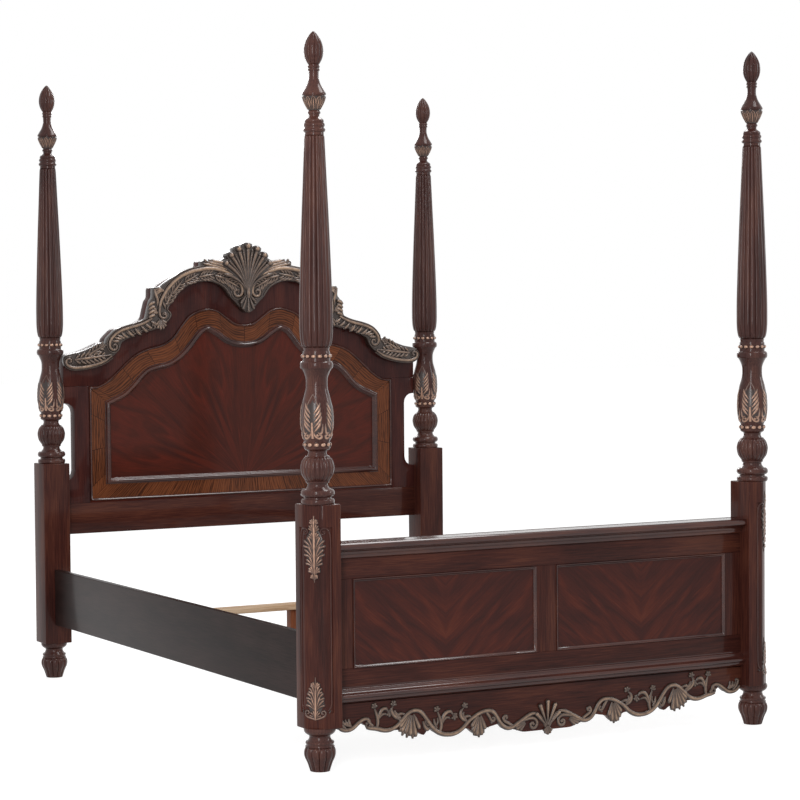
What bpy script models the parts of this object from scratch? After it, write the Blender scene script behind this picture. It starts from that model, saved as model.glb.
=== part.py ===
"""Queen size four poster canopy bed: carved headboard, reeded posts and a low panelled footboard.

Metres, +Z up. The origin is on the floor in the middle of the four posts. +X is to the right seen
from the foot end, -Y points to the foot end and +Y to the head end. Everything is made of boards,
turnings and swept mouldings that stand on each other with a clearance of GAP.
"""
import math
from functools import partial

import bmesh
import bpy
from mathutils import Vector

# ---------------------------------------------------------------- driving dimensions
GAP = 0.0003                  # clearance between two pieces that touch

# overall layout
SIDE_RAIL_LENGTH = 2.083      # rail between the head and the foot posts
POST_SPACING = 1.593          # between the post axes across the bed

# posts: foot, square block, vase, reeded column and finial, one above the other
POST_SIDE = 0.0965
FOOT_HEIGHT = 0.130
FOOT_RADIUS = 0.0485
BLOCK_HEIGHT = 0.668
BLOCK_EDGE = 0.0015           # eased edge of the square block
CANT = 0.045                  # leg of the canted outer corner of a foot post
CANT_ROUND = 0.014            # rounding of the two edges of the cant
VASE_HEIGHT = 0.352
VASE_RADIUS = 0.051
COLUMN_HEIGHT = 0.747
COLUMN_RADIUS = 0.050
REED_COUNT = 16
REED_DEPTH = 0.0035
GADROON_COUNT = 10
GADROON_DEPTH = 0.0035
FINIAL_HEIGHT = 0.298
FINIAL_RADIUS = 0.036
TENON_RADIUS = 0.006          # dowel turned on the finial
TENON_LENGTH = 0.040
STUD_RADIUS = 0.005           # threaded steel stud between the two halves of a post
STUD_LENGTH = 0.080
CORE_STEP = 0.010             # where the turning narrows to its core inside the block
ROUND_SIDES = 12              # facets of the small turnings

# side rails, ledgers, slats and centre legs
RAIL_BOTTOM = 0.200
RAIL_HEIGHT = 0.205
RAIL_THICKNESS = 0.025
RAIL_SETBACK = 0.035          # rail's outer face behind the post's outer face
RAIL_EDGE = 0.002
LEDGER_SIDE = 0.025
LEDGER_SETBACK = 0.0615       # ledger's end short of the rail's end
LEDGER_RISE = 0.043           # ledger's top above the rail's bottom edge
SLAT_WIDTH = 0.070
SLAT_THICKNESS = 0.021
SLAT_SETBACK = 0.290          # outer slats' middle short of the ledger's end
SLAT_END_PLAY = 0.0015        # loose fit of a slat between the rails
LEG_SIDE = 0.038
LEG_FLOOR_PLAY = 0.0006       # the adjustable centre leg stops just short of the floor

# rail hooks: a steel plate in a saw kerf in the rail's end, two hooks in the post
PLATE_THICKNESS = 0.004
PLATE_HEIGHT = 0.120
PLATE_DEPTH = 0.040
HOOK_REACH = 0.012
HOOK_HEIGHT = 0.022
HOOK_NECK = 0.012
HOOK_LIP = 0.006
HOOK_PITCH = 0.050

# headboard
HEAD_DROP = 0.269             # headboard's lower edge below the top of the blocks
HEAD_THICKNESS = 0.045
HEAD_SETBACK = 0.0505         # frame's front face behind the post's front face
HEAD_BOTTOM_RAIL = 0.114
HEAD_SIDE_HEIGHT = 0.437      # straight side of the panel
HEAD_STILE = 0.104
ARCH_RISE = 0.289
NOTCH_DEPTH = 0.046           # opening beside the turned part of the post
NOTCH_RADIUS = 0.036
NOTCH_LAP = 0.068             # stile's contact below the top of the block
EAR_HEIGHT = 0.062            # shoulder of the stile that meets the vase
PANEL_RECESS = 0.004
PANEL_THICKNESS = 0.012
OUTER_BEAD = 0.007
OUTER_BEAD_PROUD = 0.006
CROSSBAND_WIDTH = 0.056
CROSSBAND_THICKNESS = 0.003
MOULDING_WIDTH = 0.023
MOULDING_PROUD = 0.016
SHOULDER_HEIGHT = 0.064       # frame between the stile's top and the crown's lowest scroll
CROWN_RISE = 0.461
CROWN_DEPTH = 0.040
CROWN_ROUND = 0.006
CROWN_OVERLAP = 0.004         # crown's edge above the frame behind it
SHELL_HEIGHT = 0.268
SHELL_HALF_WIDTH = 0.104
SHELL_THICKNESS = 0.0125
SHELL_RIBS = 9
SHELL_RISE = 0.015            # shell's tip above the crown

# ribbed shells, as shares of their radius, hub height and thickness
FAN_ANGLE = math.radians(76)
FAN_HUB_SHARE = 0.15                # where the ribs start
FAN_CREST_SHARE = 0.75              # where they stand highest
FAN_NOTCH_SHARE = 0.93
FAN_RIM_SHARE = 0.80
FAN_VALLEY_SHARE = 0.45
FAN_STEM_SHARES = ((0.0, 0.15), (0.4, 0.7))     # share of the hub's height, of the hub's width
FAN_STEM_DEPTH_SHARE = 0.80

# footboard, stacked upwards from the apron's lowest point
APRON_CLEARANCE = 0.048
APRON_HEIGHT = 0.170
APRON_THICKNESS = 0.026
FOOT_THICKNESS = 0.030
FOOT_SETBACK = 0.0455         # frame's front face behind the post's front face
FOOT_BOTTOM_RAIL = 0.079
FOOT_PANEL_HEIGHT = 0.271
FOOT_TOP_RAIL = 0.061
FOOT_STILE = 0.065
MULLION_WIDTH = 0.072
FOOT_PANEL_THICKNESS = 0.010
FOOT_PANEL_RECESS = 0.006
FOOT_BEAD = 0.008
FOOT_BEAD_PROUD = 0.004
CAP_HEIGHT = 0.049
CAP_NOSING = 0.037            # cap's overhang at the front
CAP_BACK = 0.012              # and at the back
BASE_HEIGHT = 0.045
BASE_PROUD = 0.028
BASE_DROP = 0.023             # base moulding's lower edge below the bottom rail
SCROLL_WIDTH = 0.014
SCROLL_DEPTH = 0.010
SCROLL_END_SHARE = 0.55       # the scroll's width at its ends
APRON_SHELL_HEIGHT = 0.100
APRON_SHELL_HALF_WIDTH = 0.040
APRON_SHELL_THICKNESS = 0.012
APRON_SHELL_RIBS = 7

# acanthus leaves on the canted corners of the foot posts
LEAF_EDGE = 0.002
LEAF_RIDGE = 0.008
DROP_LEAF_LENGTH = 0.200
DROP_LEAF_WIDTH = 0.054
DROP_LEAF_TOP = 0.032         # below the top of the block
BASE_LEAF_LENGTH = 0.130
BASE_LEAF_WIDTH = 0.052
BASE_LEAF_BOTTOM = 0.026      # above the bottom of the block
LEAF_STALK_SHARE = 0.14       # the leaf's outline is this stretch of a half wave
LEAF_SPAN_SHARE = 0.84
LEAF_FULLNESS = 0.8
LEAF_NOTCH_SHARE = 0.78       # width left between two lobes
LEAF_DROOP_SHARE = 0.02       # how far each lobe's tip runs ahead, of the leaf's length

# ---------------------------------------------------------------- derived places
POST_X = POST_SPACING / 2
POST_FACE_Y = SIDE_RAIL_LENGTH / 2 + GAP
POST_Y = POST_FACE_Y + POST_SIDE / 2
POST_OUTER_Y = POST_Y + POST_SIDE / 2
INNER_X = POST_X - POST_SIDE / 2 - GAP      # ends of everything that butts against the blocks
SHOULDER_X = POST_X - VASE_RADIUS - GAP     # ends of what meets the turned vase
BLOCK_BOTTOM = FOOT_HEIGHT
BLOCK_TOP = BLOCK_BOTTOM + BLOCK_HEIGHT
COLUMN_BOTTOM = BLOCK_TOP + VASE_HEIGHT + GAP
FINIAL_BOTTOM = COLUMN_BOTTOM + COLUMN_HEIGHT + GAP

RAIL_OUTER_X = POST_X + POST_SIDE / 2 - RAIL_SETBACK
RAIL_INNER_X = RAIL_OUTER_X - RAIL_THICKNESS
LEDGER_TOP = RAIL_BOTTOM + LEDGER_RISE
LEDGER_HALF = SIDE_RAIL_LENGTH / 2 - LEDGER_SETBACK
SLAT_PITCH = LEDGER_HALF - SLAT_SETBACK
PLATE_X = RAIL_INNER_X + RAIL_THICKNESS / 2
PLATE_BOTTOM = RAIL_BOTTOM + (RAIL_HEIGHT - PLATE_HEIGHT) / 2

HEAD_FRONT_Y = POST_FACE_Y + HEAD_SETBACK - 2 * GAP
HEAD_BACK_Y = HEAD_FRONT_Y + HEAD_THICKNESS
PANEL_HALF = INNER_X - HEAD_STILE
HEAD_BOTTOM = BLOCK_TOP - HEAD_DROP
PANEL_BOTTOM = HEAD_BOTTOM + HEAD_BOTTOM_RAIL
STILE_TOP = PANEL_BOTTOM + HEAD_SIDE_HEIGHT
CROWN_BOTTOM = STILE_TOP + SHOULDER_HEIGHT
CORE_FRONT_Y = HEAD_FRONT_Y + PANEL_RECESS
CROWN_FRONT_Y = HEAD_FRONT_Y - GAP - CROWN_DEPTH

FOOT_FRONT_Y = -POST_OUTER_Y + FOOT_SETBACK
FOOT_BACK_Y = FOOT_FRONT_Y + FOOT_THICKNESS
APRON_TOP = APRON_CLEARANCE + APRON_HEIGHT
FOOT_PANEL_BOTTOM = APRON_TOP + GAP + FOOT_BOTTOM_RAIL
FOOT_PANEL_TOP = FOOT_PANEL_BOTTOM + FOOT_PANEL_HEIGHT
CAP_BOTTOM = FOOT_PANEL_TOP + FOOT_TOP_RAIL + GAP

# ---------------------------------------------------------------- finishes
CHERRY = ((0.075, 0.022, 0.016), 0.32, 0.0)
VENEER = ((0.110, 0.032, 0.018), 0.28, 0.0)
CROSSBAND = ((0.190, 0.062, 0.024), 0.28, 0.0)
UMBER_GILT = ((0.120, 0.068, 0.038), 0.42, 0.0)
ESPRESSO = ((0.032, 0.024, 0.021), 0.40, 0.0)
PINE = ((0.760, 0.560, 0.400), 0.60, 0.0)
STEEL = ((0.350, 0.340, 0.330), 0.40, 1.0)

# ---------------------------------------------------------------- turned profiles
# (share of the height, share of the radius), bottom to top
FOOT_PROFILE_SHARES = ((0.0, 0.61), (0.20, 0.80), (0.40, 0.99), (0.54, 0.95), (0.62, 0.83), (0.67, 0.89),
                (0.79, 0.65), (0.90, 0.94), (1.0, 0.94))
FOOT_GADROON_SHARES = (0.10, 0.57)
VASE_PROFILE_SHARES = ((0.0, 0.90), (0.03, 0.90), (0.06, 0.78), (0.10, 0.99), (0.165, 0.60), (0.24, 0.90),
                (0.31, 0.98), (0.38, 0.84), (0.43, 0.54), (0.50, 0.82), (0.54, 0.76), (0.66, 0.97),
                (0.76, 1.0), (1.0, 0.63))
BALL_GADROON_SHARES = (0.20, 0.40)
COLUMN_PROFILE_SHARES = ((0.0, 0.65), (0.035, 0.67), (0.06, 0.91), (0.085, 0.97), (0.104, 0.83),
                  (0.117, 0.91), (0.132, 0.79), (0.175, 0.93), (0.22, 1.0), (0.42, 0.95),
                  (0.70, 0.79), (1.0, 0.58))
REED_SHARES = (0.16, 0.985)
FINIAL_PROFILE_SHARES = ((0.0, 0.84), (0.03, 0.90), (0.12, 0.81), (0.16, 0.43), (0.29, 0.72),
                  (0.375, 1.0), (0.42, 0.97), (0.52, 0.43), (0.64, 0.42), (0.66, 0.52),
                  (0.69, 0.47), (0.75, 0.70), (0.82, 0.80), (0.90, 0.69), (0.975, 0.33))

# ---------------------------------------------------------------- drawn outlines
# The panel's serpentine top: share of the half width, share of the arch's rise, middle outwards.
ARCH_SHARES = ((0.0, 0.78), (0.10, 0.86), (0.19, 0.98), (0.25, 1.0), (0.33, 0.94), (0.41, 0.78),
        (0.49, 0.59), (0.68, 0.44), (0.80, 0.24), (0.90, 0.06), (1.0, 0.0))
# The crown's upper and lower edges: share of the half width, share of the crown's rise.
CROWN_UPPER_SHARES = ((0.995, 0.05), (0.993, 0.11), (0.92, 0.148), (0.80, 0.22), (0.775, 0.27),
               (0.715, 0.33), (0.668, 0.343), (0.616, 0.36), (0.568, 0.40), (0.545, 0.46),
               (0.535, 0.544), (0.521, 0.63), (0.489, 0.657), (0.404, 0.746), (0.333, 0.794),
               (0.262, 0.818), (0.22, 0.848), (0.16, 0.87), (0.107, 0.957), (0.0, 1.0))
CROWN_LOWER_SHARES = ((0.0, 0.50), (0.08, 0.555), (0.135, 0.653), (0.221, 0.703), (0.306, 0.688),
               (0.362, 0.636), (0.43, 0.479), (0.43, 0.403), (0.484, 0.334), (0.59, 0.295),
               (0.689, 0.219), (0.707, 0.163), (0.757, 0.095), (0.825, 0.033), (0.929, 0.0),
               (0.985, 0.017))
# The apron's lower edge: share of the half width, share of the apron's height.
APRON_EDGE_SHARES = ((0.0, 0.02), (0.075, 0.05), (0.13, 0.15), (0.19, 0.15), (0.24, 0.28), (0.32, 0.13),
              (0.40, 0.22), (0.48, 0.14), (0.565, 0.36), (0.63, 0.33), (0.72, 0.40), (0.78, 0.36),
              (0.87, 0.53), (0.935, 0.43), (1.0, 0.50))
# The centre line of the scroll carved on the apron, from the shell outwards.
APRON_SCROLL_SHARES = ((0.06, 0.33), (0.10, 0.31), (0.16, 0.17), (0.205, 0.14), (0.25, 0.34), (0.295, 0.49),
                (0.345, 0.42), (0.40, 0.25), (0.48, 0.14), (0.55, 0.31), (0.60, 0.55), (0.635, 0.63),
                (0.675, 0.55), (0.72, 0.39), (0.78, 0.33), (0.83, 0.42), (0.86, 0.54), (0.90, 0.48),
                (0.94, 0.42), (0.97, 0.47))


# ---------------------------------------------------------------- modelling helpers
def add(name, bm, finish):
    """Make an object with its own Principled material from a bmesh."""
    mesh = bpy.data.meshes.new(name)
    bm.to_mesh(mesh)
    bm.free()
    colour, roughness, metallic = finish
    material = bpy.data.materials.new(name)
    material.use_nodes = True
    shader = material.node_tree.nodes["Principled BSDF"]
    shader.inputs["Base Color"].default_value = (*colour, 1.0)
    shader.inputs["Roughness"].default_value = roughness
    shader.inputs["Metallic"].default_value = metallic
    mesh.materials.append(material)
    piece = bpy.data.objects.new(name, mesh)
    bpy.context.scene.collection.objects.link(piece)
    return piece


def hide(tool):
    """Mark an object as a tool of a Boolean, not a piece."""
    tool.hide_render = True
    tool.display_type = "WIRE"
    return tool


def boolean(piece, tool, operation):
    """Join the tool to the piece, or cut it out."""
    modifier = piece.modifiers.new(operation.lower(), "BOOLEAN")
    modifier.operation = operation
    modifier.solver = "EXACT"
    modifier.object = tool


def smooth(points, steps):
    """Points of a Catmull-Rom curve through the given ones, so many steps from each to the next."""
    ends = [points[0], *points, points[-1]]
    curve = []
    for start in range(len(points) - 1):
        a, b, c, d = (Vector(p) for p in ends[start:start + 4])
        for step in range(steps):
            t = step / steps
            curve.append(0.5 * (2 * b + (c - a) * t + (2 * a - 5 * b + 4 * c - d) * t * t
                                + (3 * b - a - 3 * c + d) * t ** 3))
    curve.append(Vector(points[-1]))
    return curve


def placed(shares, half_width, bottom, height):
    """Shares of a half width and a height, made points in X and Z."""
    return [Vector((x * half_width, bottom + z * height)) for x, z in shares]


def mirrored(points):
    """The points on the other side of the middle, in the opposite order."""
    return [Vector((-p.x, p.y)) for p in reversed(points)]


def both_sides(points):
    """A symmetrical curve from right to left, given from the middle to the right."""
    return list(reversed(points)) + [Vector((-p.x, p.y)) for p in points[1:]]


def prism(points, direction):
    """A bmesh of the flat outline of 3-D points, extruded along a direction."""
    bm = bmesh.new()
    face = bm.faces.new([bm.verts.new(p) for p in points])
    extruded = bmesh.ops.extrude_face_region(bm, geom=[face], use_keep_orig=True)
    moved = [v for v in extruded["geom"] if isinstance(v, bmesh.types.BMVert)]
    bmesh.ops.translate(bm, verts=moved, vec=direction)
    bmesh.ops.recalc_face_normals(bm, faces=bm.faces)
    return bm


def slab(name, outline, front, back, finish):
    """A board sawn to an outline in X and Z."""
    points = [(x, front, z) for x, z in outline]
    return add(name, prism(points, (0, back - front, 0)), finish)


def box(bm, low, high):
    """Add a block between two corners to a bmesh."""
    made = bmesh.ops.create_cube(bm, size=1.0)["verts"]
    bmesh.ops.scale(bm, vec=Vector(high) - Vector(low), verts=made)
    bmesh.ops.translate(bm, vec=(Vector(high) + Vector(low)) / 2, verts=made)
    return bm


def board(name, low, high, finish, edge=0.0):
    """A planed board between two corners, its edges eased if asked."""
    piece = add(name, box(bmesh.new(), low, high), finish)
    if edge:
        bevel = piece.modifiers.new("eased edges", "BEVEL")
        bevel.width = edge
        bevel.segments = 1
    return piece


def run_of_moulding(name, section, half_length, finish):
    """A straight moulding along X from its section in Y and Z."""
    points = [(-half_length, y, z) for y, z in section]
    return add(name, prism(points, (2 * half_length, 0, 0)), finish)


def loft(sections, closed=False):
    """A bmesh through closed cross-sections of equal count; the ends are capped or joined."""
    bm = bmesh.new()
    rings = [[bm.verts.new(p) for p in section] for section in sections]
    pairs = list(zip(rings, rings[1:] + rings[:1])) if closed else list(zip(rings, rings[1:]))
    for here, there in pairs:
        for i in range(len(here)):
            j = (i + 1) % len(here)
            bm.faces.new((here[i], here[j], there[j], there[i]))
    if not closed:
        bm.faces.new(rings[0])
        bm.faces.new(rings[-1])
    bmesh.ops.recalc_face_normals(bm, faces=bm.faces)
    return bm


def frame_moulding(name, loop_at, section, finish):
    """A moulding inside a frame, from its section as (inset from the frame, place in Y)."""
    rings = [[(p.x, y, p.y) for p in loop_at(inset)] for inset, y in section]
    return add(name, loft(rings, closed=True), finish)


def rectangle(left, right, bottom, top, inset=0.0):
    """An anticlockwise rectangle in X and Z."""
    left, right, bottom, top = left + inset, right - inset, bottom + inset, top - inset
    return [Vector((left, bottom)), Vector((right, bottom)), Vector((right, top)), Vector((left, top))]


def lathe(profile, sides):
    """A bmesh turned about Z from (height, radius) points; the first and last are on the axis."""
    bm = bmesh.new()
    line = [bm.verts.new((radius, 0, height)) for height, radius in profile]
    edges = [bm.edges.new(pair) for pair in zip(line, line[1:])]
    bmesh.ops.spin(bm, geom=line + edges, axis=(0, 0, 1), cent=(0, 0, 0), dvec=(0, 0, 0),
                   angle=2 * math.pi, steps=sides, use_merge=True, use_duplicate=False)
    bmesh.ops.remove_doubles(bm, verts=bm.verts, dist=GAP / 30)
    bmesh.ops.recalc_face_normals(bm, faces=bm.faces)
    return bm


def carve_lobes(bm, count, depth, low, high):
    """Press every other column of a turning inwards between two heights, leaving rounded lobes."""
    for vert in bm.verts:
        radius = vert.co.xy.length
        facet = round(math.atan2(vert.co.y, vert.co.x) * count / math.pi)
        if facet % 2 and low < vert.co.z < high:
            vert.co.xy *= (radius - depth) / radius


def scaled(profile, bottom, height, radius):
    """A profile of shares at its real height and radius."""
    return [(bottom + share * height, r * radius) for share, r in profile]


def arc(centre, radius, start, end, steps):
    """Points of an arc in X and Z, angles in degrees."""
    angles = [math.radians(start + (end - start) * i / steps) for i in range(steps + 1)]
    return [Vector((centre[0] + radius * math.cos(a), centre[1] + radius * math.sin(a)))
            for a in angles]


# ---------------------------------------------------------------- posts
POST_CORNERS = {"head_left": (-1, 1), "head_right": (1, 1), "foot_left": (-1, -1), "foot_right": (1, -1)}


def block(side_x, side_y):
    """The square block, centred on the post; a foot post has its outer corner canted and rounded."""
    half = POST_SIDE / 2
    cant = [Vector((side_x * half, side_y * (half - CANT))),
            Vector((side_x * (half - CANT), side_y * half))]
    canted = side_y < 0
    plan = [(-side_x * half, -side_y * half), (side_x * half, -side_y * half)]
    plan += cant if canted else [(side_x * half, side_y * half)]
    plan.append((-side_x * half, side_y * half))
    bm = prism([(x, y, BLOCK_BOTTOM) for x, y in plan], (0, 0, BLOCK_HEIGHT))
    if canted:
        edges = [e for e in bm.edges
                 if any(all((v.co.xy - corner).length < GAP for v in e.verts) for corner in cant)]
        bmesh.ops.bevel(bm, geom=edges, offset=CANT_ROUND, affect="EDGES", segments=3, profile=0.5,
                        material=-1)
    else:
        bmesh.ops.bevel(bm, geom=list(bm.edges), offset=BLOCK_EDGE, affect="EDGES", segments=1,
                        profile=0.5, material=-1)
    return bm


def spindle():
    """The turned foot and vase, which run through the block as one blank."""
    core = FOOT_RADIUS * 0.6
    profile = [(0.0, 0.0)] + scaled(FOOT_PROFILE_SHARES, 0.0, FOOT_HEIGHT + GAP, FOOT_RADIUS)
    profile += [(BLOCK_BOTTOM + CORE_STEP, core), (BLOCK_TOP - CORE_STEP, core)]
    profile += scaled(VASE_PROFILE_SHARES, BLOCK_TOP - GAP, VASE_HEIGHT + GAP, VASE_RADIUS)
    profile.append((BLOCK_TOP + VASE_HEIGHT, 0.0))
    bm = lathe(profile, 2 * GADROON_COUNT)
    foot_low, foot_high = (share * FOOT_HEIGHT for share in FOOT_GADROON_SHARES)
    carve_lobes(bm, GADROON_COUNT, GADROON_DEPTH, foot_low, foot_high)
    ball_low, ball_high = (BLOCK_TOP + share * VASE_HEIGHT for share in BALL_GADROON_SHARES)
    carve_lobes(bm, GADROON_COUNT, GADROON_DEPTH, ball_low, ball_high)
    return bm


def column():
    """The reeded upper post."""
    low = COLUMN_BOTTOM
    top = low + COLUMN_HEIGHT
    profile = [(low, 0.0)] + scaled(COLUMN_PROFILE_SHARES, low, COLUMN_HEIGHT, COLUMN_RADIUS) + [(top, 0.0)]
    bm = lathe(profile, 2 * REED_COUNT)
    reed_low, reed_high = (low + share * COLUMN_HEIGHT for share in REED_SHARES)
    carve_lobes(bm, REED_COUNT, REED_DEPTH, reed_low, reed_high)
    return bm


def finial():
    """The urn and bud finial on its dowel."""
    profile = [(FINIAL_BOTTOM - TENON_LENGTH, 0.0), (FINIAL_BOTTOM - TENON_LENGTH, TENON_RADIUS),
               (FINIAL_BOTTOM, TENON_RADIUS)]
    profile += scaled(FINIAL_PROFILE_SHARES, FINIAL_BOTTOM, FINIAL_HEIGHT, FINIAL_RADIUS)
    profile.append((FINIAL_BOTTOM + FINIAL_HEIGHT, 0.0))
    return lathe(profile, ROUND_SIDES)


def rod(low, high, radius):
    """A plain round rod on the post's axis."""
    return lathe([(low, 0.0), (low, radius), (high, radius), (high, 0.0)], ROUND_SIDES)


def hook_steps(bottom):
    """The two hooks of a plate, as (distance out of the rail's end, height) going up."""
    steps = []
    for hook in (-1, 1):
        low = bottom + PLATE_HEIGHT / 2 + hook * HOOK_PITCH / 2 - HOOK_HEIGHT / 2
        neck = low + HOOK_HEIGHT - HOOK_NECK
        high = low + HOOK_HEIGHT
        steps += [(0.0, neck), (HOOK_REACH - HOOK_LIP, neck), (HOOK_REACH - HOOK_LIP, low),
                  (HOOK_REACH, low), (HOOK_REACH, high), (0.0, high)]
    return steps


def hook_slots(side_x, side_y):
    """A tool that cuts the two slots for the rail's hooks into the post's face."""
    tool = bmesh.new()
    near, far = sorted((side_y * (POST_FACE_Y - HOOK_REACH), side_y * (POST_FACE_Y + HOOK_REACH + GAP)))
    reach_x = PLATE_THICKNESS / 2 + GAP
    reach_z = HOOK_HEIGHT / 2 + GAP
    x = side_x * (PLATE_X - POST_X)
    for hook in (-1, 1):
        centre = PLATE_BOTTOM + PLATE_HEIGHT / 2 + hook * HOOK_PITCH / 2
        box(tool, (x - reach_x, near - side_y * POST_Y, centre - reach_z),
            (x + reach_x, far - side_y * POST_Y, centre + reach_z))
    return tool


def build_posts():
    for corner, (side_x, side_y) in POST_CORNERS.items():
        place = Vector((side_x * POST_X, side_y * POST_Y, 0))
        lower = add(corner + "_lower_post", block(side_x, side_y), CHERRY)
        lower.location = place
        turning = hide(add(corner + "_turning_tool", spindle(), CHERRY))
        turning.location = place
        boolean(lower, turning, "UNION")
        slots = hide(add(corner + "_slot_tool", hook_slots(side_x, side_y), STEEL))
        slots.location = place
        boolean(lower, slots, "DIFFERENCE")
        upper = add(corner + "_upper_post", column(), CHERRY)
        top = add(corner + "_finial", finial(), UMBER_GILT)
        joint = BLOCK_TOP + VASE_HEIGHT + GAP / 2
        low, high = joint - STUD_LENGTH / 2, joint + STUD_LENGTH / 2
        stud = add(corner + "_post_stud", rod(low, high, STUD_RADIUS), STEEL)
        drill = hide(add(corner + "_stud_drill", rod(low - GAP, high + GAP, STUD_RADIUS + GAP), STEEL))
        boolean(lower, drill, "DIFFERENCE")
        boolean(upper, drill, "DIFFERENCE")
        socket = rod(FINIAL_BOTTOM - TENON_LENGTH - GAP, FINIAL_BOTTOM + TENON_LENGTH,
                     TENON_RADIUS + GAP)
        tenon_drill = hide(add(corner + "_tenon_drill", socket, STEEL))
        boolean(upper, tenon_drill, "DIFFERENCE")
        for piece in (upper, top, stud, drill, tenon_drill):
            piece.location = place


# ---------------------------------------------------------------- rails, slats and legs
def build_side(side, sign):
    """One side rail with its ledger and its two hook plates."""
    inner, outer = sorted((sign * RAIL_INNER_X, sign * RAIL_OUTER_X))
    half = SIDE_RAIL_LENGTH / 2
    rail = board(side + "_side_rail", (inner, -half, RAIL_BOTTOM),
                 (outer, half, RAIL_BOTTOM + RAIL_HEIGHT), ESPRESSO, RAIL_EDGE)
    ledger_in, ledger_out = sorted((sign * (RAIL_INNER_X - LEDGER_SIDE - GAP),
                                    sign * (RAIL_INNER_X - GAP)))
    board(side + "_ledger", (ledger_in, -LEDGER_HALF, LEDGER_TOP - LEDGER_SIDE),
          (ledger_out, LEDGER_HALF, LEDGER_TOP), ESPRESSO, RAIL_EDGE)
    for end, side_y in (("head", 1), ("foot", -1)):
        x = sign * PLATE_X
        kerf_y = sorted((side_y * (half - PLATE_DEPTH - GAP), side_y * (half + PLATE_DEPTH)))
        kerf = box(bmesh.new(), (x - PLATE_THICKNESS / 2 - GAP, kerf_y[0], PLATE_BOTTOM - GAP),
                   (x + PLATE_THICKNESS / 2 + GAP, kerf_y[1], PLATE_BOTTOM + PLATE_HEIGHT + GAP))
        boolean(rail, hide(add(f"{side}_{end}_kerf_tool", kerf, STEEL)), "DIFFERENCE")
        outline = [(-PLATE_DEPTH, PLATE_BOTTOM), (0.0, PLATE_BOTTOM), *hook_steps(PLATE_BOTTOM),
                   (0.0, PLATE_BOTTOM + PLATE_HEIGHT), (-PLATE_DEPTH, PLATE_BOTTOM + PLATE_HEIGHT)]
        points = [(x - PLATE_THICKNESS / 2, side_y * (half + out), z) for out, z in outline]
        add(f"{side}_rail_{end}_hook", prism(points, (PLATE_THICKNESS, 0, 0)), STEEL)


def build_slats():
    """Three slats on the ledgers, each with a centre leg to the floor."""
    half_length = RAIL_INNER_X - SLAT_END_PLAY
    bottom = LEDGER_TOP + GAP
    for name, step in (("head", 1), ("middle", 0), ("foot", -1)):
        y = step * SLAT_PITCH
        board(name + "_slat", (-half_length, y - SLAT_WIDTH / 2, bottom),
              (half_length, y + SLAT_WIDTH / 2, bottom + SLAT_THICKNESS), PINE, RAIL_EDGE)
        board(name + "_centre_leg", (-LEG_SIDE / 2, y - LEG_SIDE / 2, LEG_FLOOR_PLAY),
              (LEG_SIDE / 2, y + LEG_SIDE / 2, bottom - GAP), CHERRY, RAIL_EDGE)


# ---------------------------------------------------------------- headboard
def panel_loop(inset=0.0):
    """The headboard's frame opening, or a smaller one nested in it: straight sides, serpentine top."""
    half = PANEL_HALF - inset
    bottom = PANEL_BOTTOM + inset
    half_arch = smooth(placed(ARCH_SHARES, half, STILE_TOP - inset, ARCH_RISE), 2)
    return [Vector((-half, bottom)), Vector((half, bottom)), *both_sides(half_arch)]


def stile_outline(sign):
    """A headboard stile: straight inside, with a round-cornered notch beside the turned post."""
    notch_x = INNER_X - NOTCH_DEPTH
    low = BLOCK_TOP - NOTCH_LAP
    high = STILE_TOP - GAP - EAR_HEIGHT
    radius = NOTCH_RADIUS
    outline = [Vector((PANEL_HALF + GAP, PANEL_BOTTOM + GAP)), Vector((INNER_X, PANEL_BOTTOM + GAP)),
               Vector((INNER_X, low))]
    outline += arc((notch_x + radius, low + radius), radius, 270, 180, 4)
    outline += arc((notch_x + radius, high - radius), radius, 180, 90, 4)
    outline += [Vector((SHOULDER_X, high)), Vector((SHOULDER_X, STILE_TOP - GAP)),
                Vector((PANEL_HALF + GAP, STILE_TOP - GAP))]
    return outline if sign > 0 else mirrored(outline)


def build_headboard_frame():
    board("headboard_bottom_rail", (-INNER_X, HEAD_FRONT_Y, HEAD_BOTTOM),
          (INNER_X, HEAD_BACK_Y, PANEL_BOTTOM), CHERRY)
    for side, sign in (("left", -1), ("right", 1)):
        slab(f"headboard_{side}_stile", stile_outline(sign), HEAD_FRONT_Y, HEAD_BACK_Y, CHERRY)
    crown = placed(CROWN_UPPER_SHARES[2:], INNER_X, CROWN_BOTTOM - CROWN_OVERLAP, CROWN_RISE)
    end_height = CROWN_BOTTOM + CROWN_UPPER_SHARES[1][1] * CROWN_RISE - CROWN_OVERLAP
    upper = [Vector((SHOULDER_X, STILE_TOP)), Vector((SHOULDER_X, end_height)), *crown]
    arch = panel_loop()[2:]
    outline = upper + mirrored(upper)[1:] + list(reversed(arch))
    slab("headboard_top_rail", outline, HEAD_FRONT_Y, HEAD_BACK_Y, CHERRY)


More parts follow.
